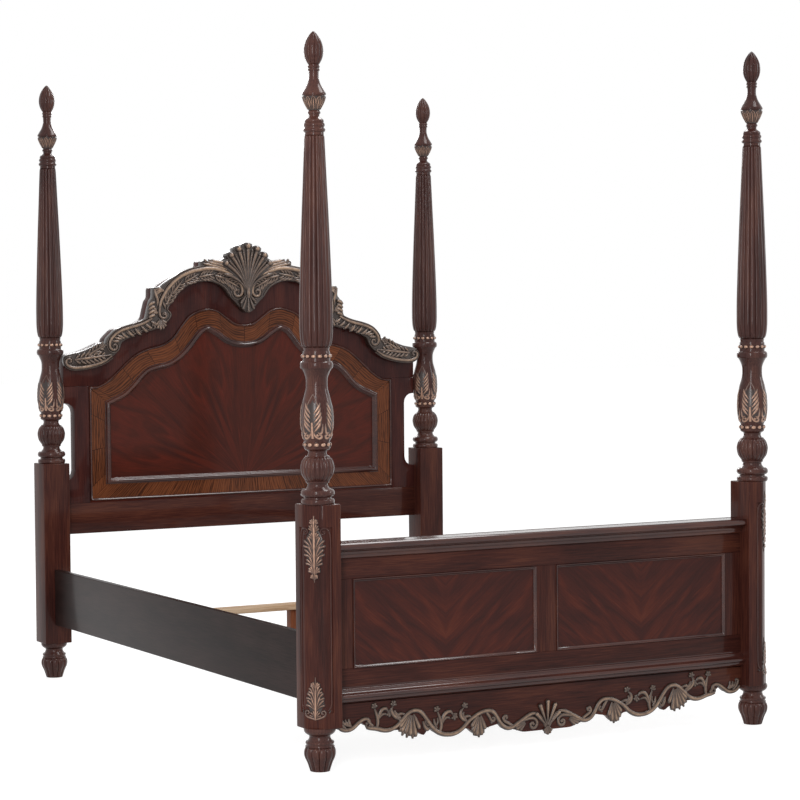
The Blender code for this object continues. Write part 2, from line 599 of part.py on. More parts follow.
def build_headboard_panel():
    """The veneered core with its crossband, the bolection moulding and the bead at the frame."""
    face = CORE_FRONT_Y - GAP
    slab("headboard_field_panel", panel_loop(GAP), CORE_FRONT_Y, CORE_FRONT_Y + PANEL_THICKNESS,
         VENEER)
    bead_face = HEAD_FRONT_Y - OUTER_BEAD_PROUD
    bead = ((GAP, face), (GAP, HEAD_FRONT_Y), (OUTER_BEAD / 2, bead_face), (OUTER_BEAD, face))
    frame_moulding("headboard_outer_bead", panel_loop, bead, CHERRY)
    band_in = OUTER_BEAD + GAP
    band_out = band_in + CROSSBAND_WIDTH
    band_face = face - CROSSBAND_THICKNESS
    band = ((band_in, face), (band_in, band_face), (band_out, band_face), (band_out, face))
    frame_moulding("headboard_crossband", panel_loop, band, CROSSBAND)
    start = band_out + GAP
    moulding = [(start, face), (start, band_face)]
    moulding += [(start + MOULDING_WIDTH * across, face - MOULDING_PROUD * out)
                 for across, out in ((0.2, 0.85), (0.5, 1.0), (0.8, 0.55))]
    moulding.append((start + MOULDING_WIDTH, face))
    frame_moulding("headboard_inner_moulding", panel_loop, moulding, CHERRY)


def build_crown():
    """The two halves of the scrolled crown, in front of the frame, and the shell on their joint."""
    back = HEAD_FRONT_Y - GAP
    upper = placed(CROWN_UPPER_SHARES, SHOULDER_X, CROWN_BOTTOM, CROWN_RISE)
    lower = placed(CROWN_LOWER_SHARES, SHOULDER_X, CROWN_BOTTOM, CROWN_RISE)
    for side, sign in (("left", -1), ("right", 1)):
        half = upper + lower
        half = [Vector((max(p.x, GAP / 2), p.y)) for p in half]
        outline = half if sign > 0 else mirrored(half)
        bm = prism([(x, back, z) for x, z in outline], (0, -CROWN_DEPTH, 0))
        front = [e for e in bm.edges if all(v.co.y < back - CROWN_DEPTH / 2 for v in e.verts)
                 and not all(abs(v.co.x) < GAP for v in e.verts)]
        bmesh.ops.bevel(bm, geom=front, offset=CROWN_ROUND, affect="EDGES", segments=1, profile=0.5,
                        material=-1, clamp_overlap=True)
        add(f"headboard_crown_carving_{side}", bm, UMBER_GILT)
    tip = CROWN_BOTTOM + CROWN_RISE + SHELL_RISE
    shell = fan(SHELL_HEIGHT, SHELL_HALF_WIDTH, SHELL_THICKNESS, SHELL_RIBS)
    bmesh.ops.translate(shell, verts=shell.verts, vec=(0, CROWN_FRONT_Y - GAP, tip - SHELL_HEIGHT))
    add("headboard_crest_shell", shell, UMBER_GILT)


def fan(height, half_width, thickness, ribs):
    """A ribbed shell on a tapering stem: back at Y 0, front towards -Y, foot at the origin."""
    radius = half_width / math.sin(FAN_ANGLE)
    hub = height - radius
    steps = 2 * ribs
    sections = []
    for share, width in FAN_STEM_SHARES:
        half = radius * FAN_HUB_SHARE * math.sin(FAN_ANGLE) * width
        sections.append([(half * (2 * step / steps - 1), -thickness * FAN_STEM_DEPTH_SHARE, hub * share)
                         for step in range(steps + 1)])
    for share in (FAN_HUB_SHARE, FAN_CREST_SHARE, 1.0):
        rim = share == 1.0
        section = []
        for step in range(steps + 1):
            angle = FAN_ANGLE * (2 * step / steps - 1)
            valley = step % 2 == 0
            reach = radius * share * (FAN_NOTCH_SHARE if valley and rim else 1.0)
            relief = thickness * (FAN_VALLEY_SHARE if valley else 1.0) * (FAN_RIM_SHARE if rim else 1.0)
            section.append((reach * math.sin(angle), -relief, hub + reach * math.cos(angle)))
        sections.append(section)
    return loft([front + [(x, 0.0, z) for x, y, z in reversed(front)] for front in sections])


# ---------------------------------------------------------------- footboard
def build_footboard_frame():
    front, back = FOOT_FRONT_Y, FOOT_BACK_Y
    board("footboard_bottom_rail", (-INNER_X, front, APRON_TOP + GAP),
          (INNER_X, back, FOOT_PANEL_BOTTOM), CHERRY)
    board("footboard_top_rail", (-INNER_X, front, FOOT_PANEL_TOP), (INNER_X, back, CAP_BOTTOM - GAP),
          CHERRY)
    low, high = FOOT_PANEL_BOTTOM + GAP, FOOT_PANEL_TOP - GAP
    stile_x = INNER_X - FOOT_STILE
    half_mullion = MULLION_WIDTH / 2
    board("footboard_mullion", (-half_mullion, front, low), (half_mullion, back, high), CHERRY)
    for side, sign in (("left", -1), ("right", 1)):
        ends = sorted((sign * stile_x, sign * INNER_X))
        board(f"footboard_{side}_stile", (ends[0], front, low), (ends[1], back, high), CHERRY)
        opening = sorted((sign * (half_mullion + GAP), sign * (stile_x - GAP)))
        face = front + FOOT_PANEL_RECESS
        slab(f"footboard_{side}_panel", rectangle(*opening, low, high), face,
             face + FOOT_PANEL_THICKNESS, VENEER)
        bead = ((0.0, face - GAP), (0.0, front - FOOT_BEAD_PROUD / 2),
                (FOOT_BEAD * 0.4, front - FOOT_BEAD_PROUD), (FOOT_BEAD, front), (FOOT_BEAD, face - GAP))
        frame_moulding(f"footboard_{side}_panel_bead", partial(rectangle, *opening, low, high), bead,
                       CHERRY)


def build_footboard_mouldings():
    """The moulded cap on the top rail and the reeded base moulding over the apron's joint."""
    front, back = FOOT_FRONT_Y, FOOT_BACK_Y
    nose = front - CAP_NOSING
    rear = back + CAP_BACK
    cap = [(back, 0.0), (back, 0.38), (rear, 0.52), (rear, 0.88), (rear - CAP_BACK / 3, 1.0)]
    cap += [(nose + CAP_NOSING * out, up) for out, up in
            ((0.32, 1.0), (0.08, 0.92), (0.0, 0.78), (0.03, 0.63), (0.22, 0.56), (0.27, 0.46),
             (0.48, 0.39), (0.67, 0.24), (0.67, 0.14), (0.86, 0.0))]
    section = [(y, CAP_BOTTOM + CAP_HEIGHT * up) for y, up in cap]
    run_of_moulding("footboard_cap_rail", section, INNER_X, CHERRY)
    face = front - GAP
    low = APRON_TOP - BASE_DROP
    base = [(0.0, 1.0), (0.25, 1.0), (0.3, 0.9), (0.5, 0.86), (0.54, 0.78), (0.45, 0.68), (0.62, 0.58),
            (0.66, 0.5), (0.56, 0.36), (0.9, 0.3), (1.0, 0.18), (0.9, 0.06), (0.6, 0.0), (0.0, 0.0)]
    section = [(face - BASE_PROUD * out, low + BASE_HEIGHT * up) for out, up in base]
    run_of_moulding("footboard_base_moulding", section, INNER_X, CHERRY)


def build_apron():
    """The scalloped apron, with a carved scroll each side of a small shell."""
    front = FOOT_FRONT_Y
    edge = smooth(placed(APRON_EDGE_SHARES, INNER_X, APRON_CLEARANCE, APRON_HEIGHT), 2)
    top = [Vector((-INNER_X, APRON_TOP)), Vector((INNER_X, APRON_TOP))]
    slab("footboard_apron", top + both_sides(edge), front, front + APRON_THICKNESS, CHERRY)
    back = front - GAP
    line = smooth(placed(APRON_SCROLL_SHARES, INNER_X, APRON_CLEARANCE, APRON_HEIGHT), 2)
    for side, sign in (("left", -1), ("right", 1)):
        path = [Vector((sign * p.x, p.y)) for p in line]
        add(f"footboard_apron_scroll_{side}", stroke(path, SCROLL_WIDTH, SCROLL_DEPTH, back), UMBER_GILT)
    shell = fan(APRON_SHELL_HEIGHT, APRON_SHELL_HALF_WIDTH, APRON_SHELL_THICKNESS, APRON_SHELL_RIBS)
    bmesh.ops.translate(shell, verts=shell.verts, vec=(0, back, APRON_CLEARANCE + GAP))
    add("footboard_apron_shell", shell, UMBER_GILT)


def stroke(path, width, depth, back):
    """A tapering carved scroll: a low ridge that follows a path in X and Z."""
    sections = []
    for index, here in enumerate(path):
        before = path[max(index - 1, 0)]
        after = path[min(index + 1, len(path) - 1)]
        along = (after - before).normalized()
        across = Vector((-along.y, along.x))
        middle = math.sin(math.pi * (index + 0.5) / len(path))
        taper = SCROLL_END_SHARE + (1 - SCROLL_END_SHARE) * middle
        half = width * taper / 2
        left, right = here + across * half, here - across * half
        sections.append([(left.x, back, left.y), (here.x, back - depth * taper, here.y),
                         (right.x, back, right.y)])
    return loft(sections)


# ---------------------------------------------------------------- leaves on the foot posts
def leaf(length, width, lobes):
    """An acanthus leaf with a midrib: back at Y 0, front towards -Y, stalk at the origin, tip up."""
    rows = 2 * lobes
    sections = []
    for row in range(rows + 1):
        share = row / rows
        swell = math.sin(math.pi * (LEAF_STALK_SHARE + LEAF_SPAN_SHARE * share) ** LEAF_FULLNESS)
        notch = LEAF_NOTCH_SHARE if row % 2 == 0 and 0 < row < rows else 1.0
        half = width / 2 * swell * notch
        drop = length * LEAF_DROOP_SHARE * (row % 2)
        z = length * share
        sections.append([(-half, 0.0, z + drop), (-half, -LEAF_EDGE, z + drop), (0.0, -LEAF_RIDGE, z),
                         (half, -LEAF_EDGE, z + drop), (half, 0.0, z + drop)])
    return loft(sections)


def build_leaves():
    """A leaf hangs from the top of each canted corner and another stands at its bottom."""
    cant_distance = (POST_SIDE - CANT) / math.sqrt(2) + GAP
    for side, sign in (("left", -1), ("right", 1)):
        outward = Vector((sign, -1, 0)).normalized()
        middle = Vector((sign * POST_X, -POST_Y, 0)) + outward * cant_distance
        turn = math.radians(45) * sign
        drop = add(f"foot_{side}_drop_leaf", leaf(DROP_LEAF_LENGTH, DROP_LEAF_WIDTH, 5), UMBER_GILT)
        drop.rotation_euler = (0, math.pi, turn)
        drop.location = middle + Vector((0, 0, BLOCK_TOP - DROP_LEAF_TOP))
        stand = add(f"foot_{side}_base_leaf", leaf(BASE_LEAF_LENGTH, BASE_LEAF_WIDTH, 4), UMBER_GILT)
        stand.rotation_euler = (0, 0, turn)
        stand.location = middle + Vector((0, 0, BLOCK_BOTTOM + BASE_LEAF_BOTTOM))


def main():
    for piece in list(bpy.data.objects):
        bpy.data.objects.remove(piece, do_unlink=True)
    build_posts()
    for side, sign in (("left", -1), ("right", 1)):
        build_side(side, sign)
    build_slats()
    build_headboard_frame()
    build_headboard_panel()
    build_crown()
    build_footboard_frame()
    build_footboard_mouldings()
    build_apron()
    build_leaves()


main()
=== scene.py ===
# %% [markdown]
# # A four poster bed with reeded posts
#
# The bed's frame already exists: posts, boards, rails and slats, each with its real size and place.
# This lesson dresses it. It turns the posts finely, cuts reeds and lobes into them, lays carved scrolls
# on the headboard and the apron, and gives every board the wood that it is made of.
#
# Everything is in metres, with Z up. The foot end faces -Y and the headboard stands at +Y. Sizes that a
# maker would read off a rule are written in millimetres and multiplied by MM.

import math

import bmesh
import bpy
from mathutils import Matrix, Vector


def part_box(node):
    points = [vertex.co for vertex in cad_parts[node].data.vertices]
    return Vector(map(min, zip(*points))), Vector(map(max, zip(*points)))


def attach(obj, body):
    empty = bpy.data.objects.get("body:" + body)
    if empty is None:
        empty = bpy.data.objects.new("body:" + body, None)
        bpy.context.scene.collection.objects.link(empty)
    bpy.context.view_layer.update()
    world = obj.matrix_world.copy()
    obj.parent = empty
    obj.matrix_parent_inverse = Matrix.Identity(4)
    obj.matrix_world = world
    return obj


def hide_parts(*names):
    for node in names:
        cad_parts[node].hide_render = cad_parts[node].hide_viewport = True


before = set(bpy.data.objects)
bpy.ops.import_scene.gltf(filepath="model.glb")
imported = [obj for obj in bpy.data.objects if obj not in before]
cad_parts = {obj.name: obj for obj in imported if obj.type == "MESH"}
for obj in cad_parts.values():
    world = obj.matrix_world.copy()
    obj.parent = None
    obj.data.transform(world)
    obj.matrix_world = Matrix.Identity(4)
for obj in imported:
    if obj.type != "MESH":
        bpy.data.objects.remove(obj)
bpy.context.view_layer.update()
MM = 0.001
BED = "bedstead"

# %% [markdown]
# ## The camera
#
# The bed is looked at from the foot end, well to its left, with a long lens from standing eye height.
# The camera's axes are worked out from its heading, its slight downward pitch and its small roll.

# %% Place the camera
HEADING, PITCH, ROLL = (math.radians(a) for a in (28.77, 2.47, -0.45))
EYE = (-4.2296, -7.8554, 1.4318)
FOCAL_LENGTH = 115.2         # mm
ahead = Vector((math.sin(HEADING) * math.cos(PITCH), math.cos(HEADING) * math.cos(PITCH), -math.sin(PITCH)))
level = ahead.cross(Vector((0, 0, 1))).normalized()
upward = level.cross(ahead)
rolled_right = level * math.cos(ROLL) + upward * math.sin(ROLL)
rolled_up = upward * math.cos(ROLL) - level * math.sin(ROLL)
lens = bpy.data.cameras.new("camera")
lens.lens = FOCAL_LENGTH
camera = bpy.data.objects.new("camera", lens)
camera.matrix_world = (Matrix.Translation(EYE)
                       @ Matrix((rolled_right, rolled_up, -ahead)).transposed().to_4x4())
bpy.context.scene.collection.objects.link(camera)
bpy.context.scene.camera = camera
print("camera at", [round(c, 2) for c in camera.matrix_world.translation])

# %% [markdown]
# ## Tools for finishes
#
# Paint charts give colours as sRGB hex values, while Blender mixes light in linear values, so one
# function turns the first into the second. Another adds a shader node with its settings and links: a
# value that is a socket is linked, and any other is typed in. It works on a material and on the world.

# %% Colours and nodes
def linear(hex_colour):
    """The linear colour of an sRGB hex value."""
    channels = [int(hex_colour[i:i + 2], 16) / 255 for i in (1, 3, 5)]
    return (*[c / 12.92 if c <= 0.04045 else ((c + 0.055) / 1.055) ** 2.4 for c in channels], 1.0)


def add_node(owner, kind, inputs=None, ramp=None, **settings):
    """Add a node to a material or world, with its settings, its links or values, and a ramp's colours."""
    node = owner.node_tree.nodes.new("ShaderNode" + kind)
    for name, value in settings.items():
        setattr(node, name, value)
    for name, value in (inputs or {}).items():
        if isinstance(value, bpy.types.NodeSocket):
            owner.node_tree.links.new(value, node.inputs[name])
        else:
            node.inputs[name].default_value = value
    if ramp:
        stops = node.color_ramp.elements
        while len(stops) < len(ramp):
            stops.new(0.5)
        for stop, (place, colour) in zip(stops, ramp):
            stop.position = place
            stop.color = linear(colour)
    return node


def new_material(name):
    """A material and its Principled shader."""
    material = bpy.data.materials.new(name)
    material.use_nodes = True
    return material, material.node_tree.nodes["Principled BSDF"]


# %% [markdown]
# ## Lacquered cherry-stained wood
#
# The bed is hardwood and veneer, stained a dark reddish brown and sprayed with semi-gloss lacquer. The
# eye gets three things from that: soft streaks along the grain, slow changes between redder and browner
# patches, and one smooth sheen that lies over all of it.
#
# A Noise texture that is stretched along the grain draws streaks. A second, much coarser one shifts the
# hue. The lacquer is the shader's coat. One function makes every plain wood here, because they differ
# only in colours, in sheen and in the way the grain runs. Turned posts and mouldings are rubbed out to
# more of a shine than flat boards. The turned posts are also given lighter, greyer tones than the boards:
# a painted sheen that stands for the light on their reeds. Real pores are under 0.3 mm wide; the streaks
# are drawn about 3 mm apart so that they can be seen across a room.

# %% Plain woods
ALONG = {"X": (0.035, 1, 1), "Y": (1, 0.035, 1), "Z": (1, 1, 0.035)}
STREAK = 3 * MM
PATCH = 70 * MM


FLAT_SHEEN, TURNED_SHEEN, MOULDING_SHEEN = 0.18, 0.75, 0.8


def lacquer(shader, roughness, coat=FLAT_SHEEN, coat_ior=1.5):
    """Semi-gloss lacquer: a modest coat over a dull stain."""
    shader.inputs["Roughness"].default_value = roughness
    shader.inputs["Specular IOR Level"].default_value = 0.05
    shader.inputs["Coat Weight"].default_value = coat
    shader.inputs["Coat IOR"].default_value = coat_ior
    shader.inputs["Coat Roughness"].default_value = 0.1


def stained_wood(name, grain, colours, roughness, coat, bump=0.08, coat_ior=1.5):
    """A stained wood with its grain along an axis and three tones: dark, middle and light."""
    material, shader = new_material(name)
    place = add_node(material, "TexCoord").outputs["Object"]
    streaks = add_node(material, "Mapping", {
        "Vector": place, "Scale": [share / STREAK for share in ALONG[grain]]}).outputs["Vector"]
    fine = add_node(material, "TexNoise", {
        "Vector": streaks, "Scale": 1.0, "Detail": 3.0, "Roughness": 0.6, "Distortion": 0.4}).outputs["Fac"]
    patches = add_node(material, "Mapping", {
        "Vector": place, "Scale": [share ** 0.5 / PATCH for share in ALONG[grain]]}).outputs["Vector"]
    coarse = add_node(material, "TexNoise", {
        "Vector": patches, "Scale": 1.0, "Detail": 2.0, "Roughness": 0.5}).outputs["Fac"]
    both = add_node(material, "Math", {0: fine, 1: coarse}, operation="ADD").outputs["Value"]
    half = add_node(material, "Math", {0: both, 1: 0.5}, operation="MULTIPLY").outputs["Value"]
    tone = add_node(material, "ValToRGB", {"Fac": half}, ramp=tuple(zip((0.36, 0.50, 0.64), colours)))
    material.node_tree.links.new(tone.outputs["Color"], shader.inputs["Base Color"])
    relief = add_node(material, "Bump", {"Height": fine, "Strength": bump, "Distance": 0.4 * MM})
    material.node_tree.links.new(relief.outputs["Normal"], shader.inputs["Normal"])
    lacquer(shader, roughness, coat, coat_ior)
    return material


CHERRY = ("#311916", "#47241E", "#5F3528")
# The turned tones are lighter and greyer than CHERRY: a painted sheen for the light caught on the reeds.
TURNED_CHERRY_WITH_PAINTED_SHEEN, STILE_CHERRY = ("#381F1C", "#4E2F2A", "#644137"), ("#321919", "#44221F", "#592E27")
cherry_upright = stained_wood("lacquered_cherry_upright_grain", "Z", CHERRY, 0.42, FLAT_SHEEN)
cherry_turned_painted_sheen = stained_wood("lacquered_cherry_turned_painted_sheen", "Z", TURNED_CHERRY_WITH_PAINTED_SHEEN, 0.34, TURNED_SHEEN, coat_ior=1.3)
cherry_level = stained_wood("lacquered_cherry_level_grain", "X", CHERRY, 0.42, FLAT_SHEEN)
cherry_moulding = stained_wood("lacquered_cherry_moulding", "X", CHERRY, 0.34, MOULDING_SHEEN)
cherry_stile = stained_wood("lacquered_cherry_stile", "Z", STILE_CHERRY, 0.42, FLAT_SHEEN)
espresso = stained_wood("espresso_lacquered_rail", "Y", ("#1F1615", "#2B1F1D", "#372826"), 0.38, 0.15)
leg_wood = stained_wood("red_brown_leg", "Z", ("#5A2E20", "#74402C", "#8A5238"), 0.5, 0.2)
pine = stained_wood("raw_planed_pine", "X", ("#B89070", "#D9B896", "#E8CDB0"), 0.7, 0.0, bump=0.2)
print("plain woods made: upright, turned, level, moulding, stile, rail, leg and pine")

# %% [markdown]
# ## Matched veneers
#
# The headboard's field is a sunburst: leaves of cherry veneer that spread like rays from the middle of
# its lower edge, each the mirror of its neighbour. The footboard's panels are V-matched: two leaves meet
# on the panel's middle line with their grain slanting up and outwards.
#
# Both are the same streaks as before, drawn in bent coordinates. For rays, the across-grain coordinate is
# the angle round the burst's centre, folded back and forth with Ping-Pong so that leaves mirror. For the
# V, it is the distance from the panel's middle line, with a Mapping node to slant it.

# %% Sunburst and V-match
FIBRE, FIBRE_LENGTH = 4 * MM, 160 * MM
FIGURE, FIGURE_LENGTH = 46 * MM, 230 * MM


def veneer_finish(material, shader, across, along, tones):
    """Colour and relief for a veneer from its across-grain and along-grain coordinates in metres."""
    spot = add_node(material, "CombineXYZ", {"X": across, "Y": along}).outputs["Vector"]
    streaks = add_node(material, "Mapping", {
        "Vector": spot, "Scale": (1 / FIBRE, 1 / FIBRE_LENGTH, 1.0)}).outputs["Vector"]
    fine = add_node(material, "TexNoise", {
        "Vector": streaks, "Scale": 1.0, "Detail": 4.0, "Roughness": 0.62, "Distortion": 0.7}).outputs["Fac"]
    figure = add_node(material, "Mapping", {
        "Vector": spot, "Scale": (1 / FIGURE, 1 / FIGURE_LENGTH, 1.0)}).outputs["Vector"]
    coarse = add_node(material, "TexNoise", {
        "Vector": figure, "Scale": 1.0, "Detail": 3.0, "Roughness": 0.55, "Distortion": 1.1}).outputs["Fac"]
    share = add_node(material, "Mix", {"Factor": 0.68, "A": fine, "B": coarse}).outputs["Result"]
    tone = add_node(material, "ValToRGB", {"Fac": share}, ramp=tuple(zip((0.30, 0.46, 0.60, 0.76), tones)))
    material.node_tree.links.new(tone.outputs["Color"], shader.inputs["Base Color"])
    relief = add_node(material, "Bump", {"Height": fine, "Strength": 0.06, "Distance": 0.4 * MM})
    material.node_tree.links.new(relief.outputs["Normal"], shader.inputs["Normal"])
    lacquer(shader, 0.40)


VENEER_TONES = ("#361A18", "#4B221A", "#5D261C", "#743425")
LEAF_ANGLE = math.radians(22.5)
RAY_ARM = 0.42               # how far from the centre a leaf's angle is measured as a width
field_low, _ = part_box("headboard_field_panel")
burst_height = field_low.z + 60 * MM

sunburst, shader = new_material("sunburst_matched_cherry_veneer")
parts = add_node(sunburst, "SeparateXYZ", {"Vector": add_node(sunburst, "TexCoord").outputs["Object"]})
rise = add_node(sunburst, "Math", {0: parts.outputs["Z"], 1: burst_height}, operation="SUBTRACT")
turn = add_node(sunburst, "Math", {0: parts.outputs["X"], 1: rise.outputs["Value"]}, operation="ARCTAN2")
fold = add_node(sunburst, "Math", {0: turn.outputs["Value"], 1: LEAF_ANGLE}, operation="PINGPONG")
ray = add_node(sunburst, "Math", {0: fold.outputs["Value"], 1: RAY_ARM}, operation="MULTIPLY")
reach_squared = add_node(sunburst, "Math", {0: parts.outputs["X"], 1: parts.outputs["X"]},
                         operation="MULTIPLY")
height_squared = add_node(sunburst, "Math", {0: rise.outputs["Value"], 1: rise.outputs["Value"],
                                             2: reach_squared.outputs["Value"]}, operation="MULTIPLY_ADD")
reach = add_node(sunburst, "Math", {0: height_squared.outputs["Value"]}, operation="SQRT")
veneer_finish(sunburst, shader, ray.outputs["Value"], reach.outputs["Value"], VENEER_TONES)

panel_low, panel_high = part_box("footboard_right_panel")
PANEL_MIDDLE = (panel_low.x + panel_high.x) / 2
V_SLANT = math.radians(40)

v_match, shader = new_material("v_matched_cherry_veneer")
parts = add_node(v_match, "SeparateXYZ", {"Vector": add_node(v_match, "TexCoord").outputs["Object"]})
side = add_node(v_match, "Math", {0: parts.outputs["X"]}, operation="ABSOLUTE")
offset = add_node(v_match, "Math", {0: side.outputs["Value"], 1: PANEL_MIDDLE}, operation="SUBTRACT")
from_middle = add_node(v_match, "Math", {0: offset.outputs["Value"]}, operation="ABSOLUTE")
flat = add_node(v_match, "CombineXYZ", {"X": from_middle.outputs["Value"], "Y": parts.outputs["Z"]})
slanted = add_node(v_match, "Mapping", {"Vector": flat.outputs["Vector"],
                                        "Rotation": (0, 0, math.radians(90) - V_SLANT)})
leaf_axes = add_node(v_match, "SeparateXYZ", {"Vector": slanted.outputs["Vector"]})
veneer_finish(v_match, shader, leaf_axes.outputs["X"], leaf_axes.outputs["Y"],
              ("#321C19", "#42211D", "#53271F", "#683526"))
print("veneers made: sunburst about z", round(burst_height, 3), "and V-match")

# %% [markdown]
# ## The crossband
#
# Round the field runs a band of zebra-striped, orange-brown veneer. It is laid in short lengths, so it
# has a fine dark joint every hand's width. Along the sill the grain stands upright, and elsewhere it
# follows the band. Two UV maps carry this in metres: one says how far along the band a point is, and
# the other how far across and along the grain. A Wave texture with plenty of distortion makes the
# stripes, a stretched Noise texture adds fibres, and White Noise gives each length its own cut.

# %% Striped crossband
PIECE_LENGTH = 118 * MM
STRIPES = 34.0               # the Wave texture's scale: a stripe about every 9 mm
STRIPE_STRETCH = 0.16
TONE_SPREAD = 0.16           # how far one length may be lighter than another
BAND_FIBRE, BAND_FIBRE_LENGTH = 3.5 * MM, 70 * MM
JOINT_SHARE = 0.015          # the dark joint's share of a length

crossband_veneer, shader = new_material("striped_crossband_veneer")
along_band = add_node(crossband_veneer, "SeparateXYZ", {
    "Vector": add_node(crossband_veneer, "UVMap", uv_map="band").outputs["UV"]})
lengths = add_node(crossband_veneer, "Math", {0: along_band.outputs["X"],
                                              1: PIECE_LENGTH}, operation="DIVIDE")
which = add_node(crossband_veneer, "Math", {0: lengths.outputs["Value"]}, operation="FLOOR")
cut = add_node(crossband_veneer, "TexWhiteNoise", {"W": which.outputs["Value"]}, noise_dimensions="1D")
grain = add_node(crossband_veneer, "SeparateXYZ", {
    "Vector": add_node(crossband_veneer, "UVMap", uv_map="grain").outputs["UV"]})
spot = add_node(crossband_veneer, "CombineXYZ", {
    "X": grain.outputs["X"], "Y": grain.outputs["Y"], "Z": cut.outputs["Value"]})
long = add_node(crossband_veneer, "Mapping", {"Vector": spot.outputs["Vector"],
                                              "Scale": (1.0, STRIPE_STRETCH, 1.0)})
stripes = add_node(crossband_veneer, "TexWave", {
    "Vector": long.outputs["Vector"], "Scale": STRIPES, "Distortion": 10.0, "Detail": 3.0,
    "Detail Scale": 1.1, "Detail Roughness": 0.6}, wave_type="BANDS", bands_direction="X")
stretch = add_node(crossband_veneer, "Mapping", {
    "Vector": spot.outputs["Vector"], "Scale": (1 / BAND_FIBRE, 1 / BAND_FIBRE_LENGTH, 7.0)})
fibres = add_node(crossband_veneer, "TexNoise", {
    "Vector": stretch.outputs["Vector"], "Scale": 1.0, "Detail": 3.0, "Distortion": 0.8})
mixed = add_node(crossband_veneer, "Mix", {
    "Factor": 0.70, "A": stripes.outputs["Fac"], "B": fibres.outputs["Fac"]})
shifted = add_node(crossband_veneer, "Math", {
    0: cut.outputs["Value"], 1: TONE_SPREAD, 2: mixed.outputs["Result"]}, operation="MULTIPLY_ADD")
tone = add_node(crossband_veneer, "ValToRGB", {"Fac": shifted.outputs["Value"]}, ramp=(
    (0.32, "#3D2217"), (0.46, "#542F1E"), (0.60, "#6C3C25"), (0.78, "#80492C")))
to_joint = add_node(crossband_veneer, "Math", {0: lengths.outputs["Value"]}, operation="FRACT")
joint = add_node(crossband_veneer, "Math", {0: to_joint.outputs["Value"], 1: JOINT_SHARE},
                 operation="GREATER_THAN")
COLOUR_A, COLOUR_B, COLOUR_OUT = 6, 7, 2     # a Mix node's sockets once it mixes colours
dark = add_node(crossband_veneer, "Mix", {
    "Factor": joint.outputs["Value"], COLOUR_A: linear("#2C170F"), COLOUR_B: tone.outputs["Color"]},
    data_type="RGBA")
crossband_veneer.node_tree.links.new(dark.outputs[COLOUR_OUT], shader.inputs["Base Color"])
lacquer(shader, 0.40)
print("crossband in lengths of", round(PIECE_LENGTH / MM), "mm")

# %% [markdown]
# ## Glazed and gilt carving
#
# Carved parts are glazed with dark umber, which stays in the hollows, and then antique gold is rubbed
# over them with a cloth, which only touches the highs. Each carved piece therefore stores how far each
# point stands out of its ground in an attribute. On the carved strokes that value is also weighted by how
# squarely a point faces out of its ground, which paints a highlight along every crest. The material turns
# it into gold, with a noise that makes the cloth's strokes uneven. Worn gilding is paint, not bare metal,
# so it is only partly metallic. The leaves on the posts are rubbed with a warmer, coppery gold.

# %% Umber and gold
CLOTH = 14 * MM              # the cloth's strokes


def gilt_and_highlight_carving(name, glaze, rubbed, gold, full_at):
    """Umber glaze with gold on the highs and a painted highlight on the crests; full_at is the value at which
    the gold covers.
    """
    material, shader = new_material(name)
    # The attribute holds the rubbed gilt and, on carved strokes, a painted crest highlight.
    high = add_node(material, "Attribute", attribute_name="gilt_and_crest_highlight").outputs["Fac"]
    place = add_node(material, "TexCoord").outputs["Object"]
    cloth = add_node(material, "TexNoise", {
        "Vector": place, "Scale": 1 / CLOTH, "Detail": 4.0}).outputs["Fac"]
    uneven = add_node(material, "Math", {
        0: cloth, 1: 0.9, 2: 0.55}, operation="MULTIPLY_ADD").outputs["Value"]
    gilt = add_node(material, "Math", {0: high, 1: uneven}, operation="MULTIPLY").outputs["Value"]
    tone = add_node(material, "ValToRGB", {"Fac": gilt}, ramp=(
        (0.25, glaze), (0.62 * full_at, rubbed), (full_at, gold)))
    material.node_tree.links.new(tone.outputs["Color"], shader.inputs["Base Color"])
    brush = add_node(material, "Bump", {"Height": cloth, "Strength": 0.15, "Distance": 0.5 * MM})
    material.node_tree.links.new(brush.outputs["Normal"], shader.inputs["Normal"])
    shader.inputs["Roughness"].default_value = 0.38
    shader.inputs["Metallic"].default_value = 0.25
    shader.inputs["Coat Weight"].default_value = 0.35
    shader.inputs["Coat Roughness"].default_value = 0.2
    return material


carving = gilt_and_highlight_carving("umber_glazed_carving_gold_and_painted_highlight", "#382C26", "#6C5546", "#AE8F74", 0.9)
copper_leaf = gilt_and_highlight_carving("umber_glazed_leaf_copper_and_painted_highlight", "#2E1F1A", "#735344", "#BF957C", 0.85)

zinc, shader = new_material("dull_zinc_plated_steel")
mottle = add_node(zinc, "TexNoise", {
    "Vector": add_node(zinc, "TexCoord").outputs["Object"], "Scale": 1 / (6 * MM), "Detail": 3.0})
tone = add_node(zinc, "ValToRGB", {"Fac": mottle.outputs["Fac"]}, ramp=((0.35, "#8C8B88"), (0.65, "#B2B1AD")))
zinc.node_tree.links.new(tone.outputs["Color"], shader.inputs["Base Color"])
shader.inputs["Metallic"].default_value = 1.0
shader.inputs["Roughness"].default_value = 0.42
print("carving finishes and zinc made")

# %% [markdown]
# ## Tools for shapes
#
# Five small tools make nearly everything. A smooth line runs through drawn points. A turning is that
# line spun once round the post's axis. A prism is a flat outline drawn out along a direction, as a
# moulding cutter or a band saw leaves it. A piece is the finished mesh with its material, the body that
# it moves with and the plain solids that it stands for. Joining puts several meshes into one piece.

# %% Lines, turnings, prisms and pieces
def smooth_line(points, steps=4):
    """Points of a Catmull-Rom curve through the given ones."""
    ends = [points[0], *points, points[-1]]
    line = []
    for i in range(len(points) - 1):
        a, b, c, d = (Vector(p) for p in ends[i:i + 4])
        for t in (step / steps for step in range(steps)):
            line.append(0.5 * (2 * b + (c - a) * t + (2 * a - 5 * b + 4 * c - d) * t ** 2
                               + (3 * b - a - 3 * c + d) * t ** 3))
    return [*line, Vector(points[-1])]


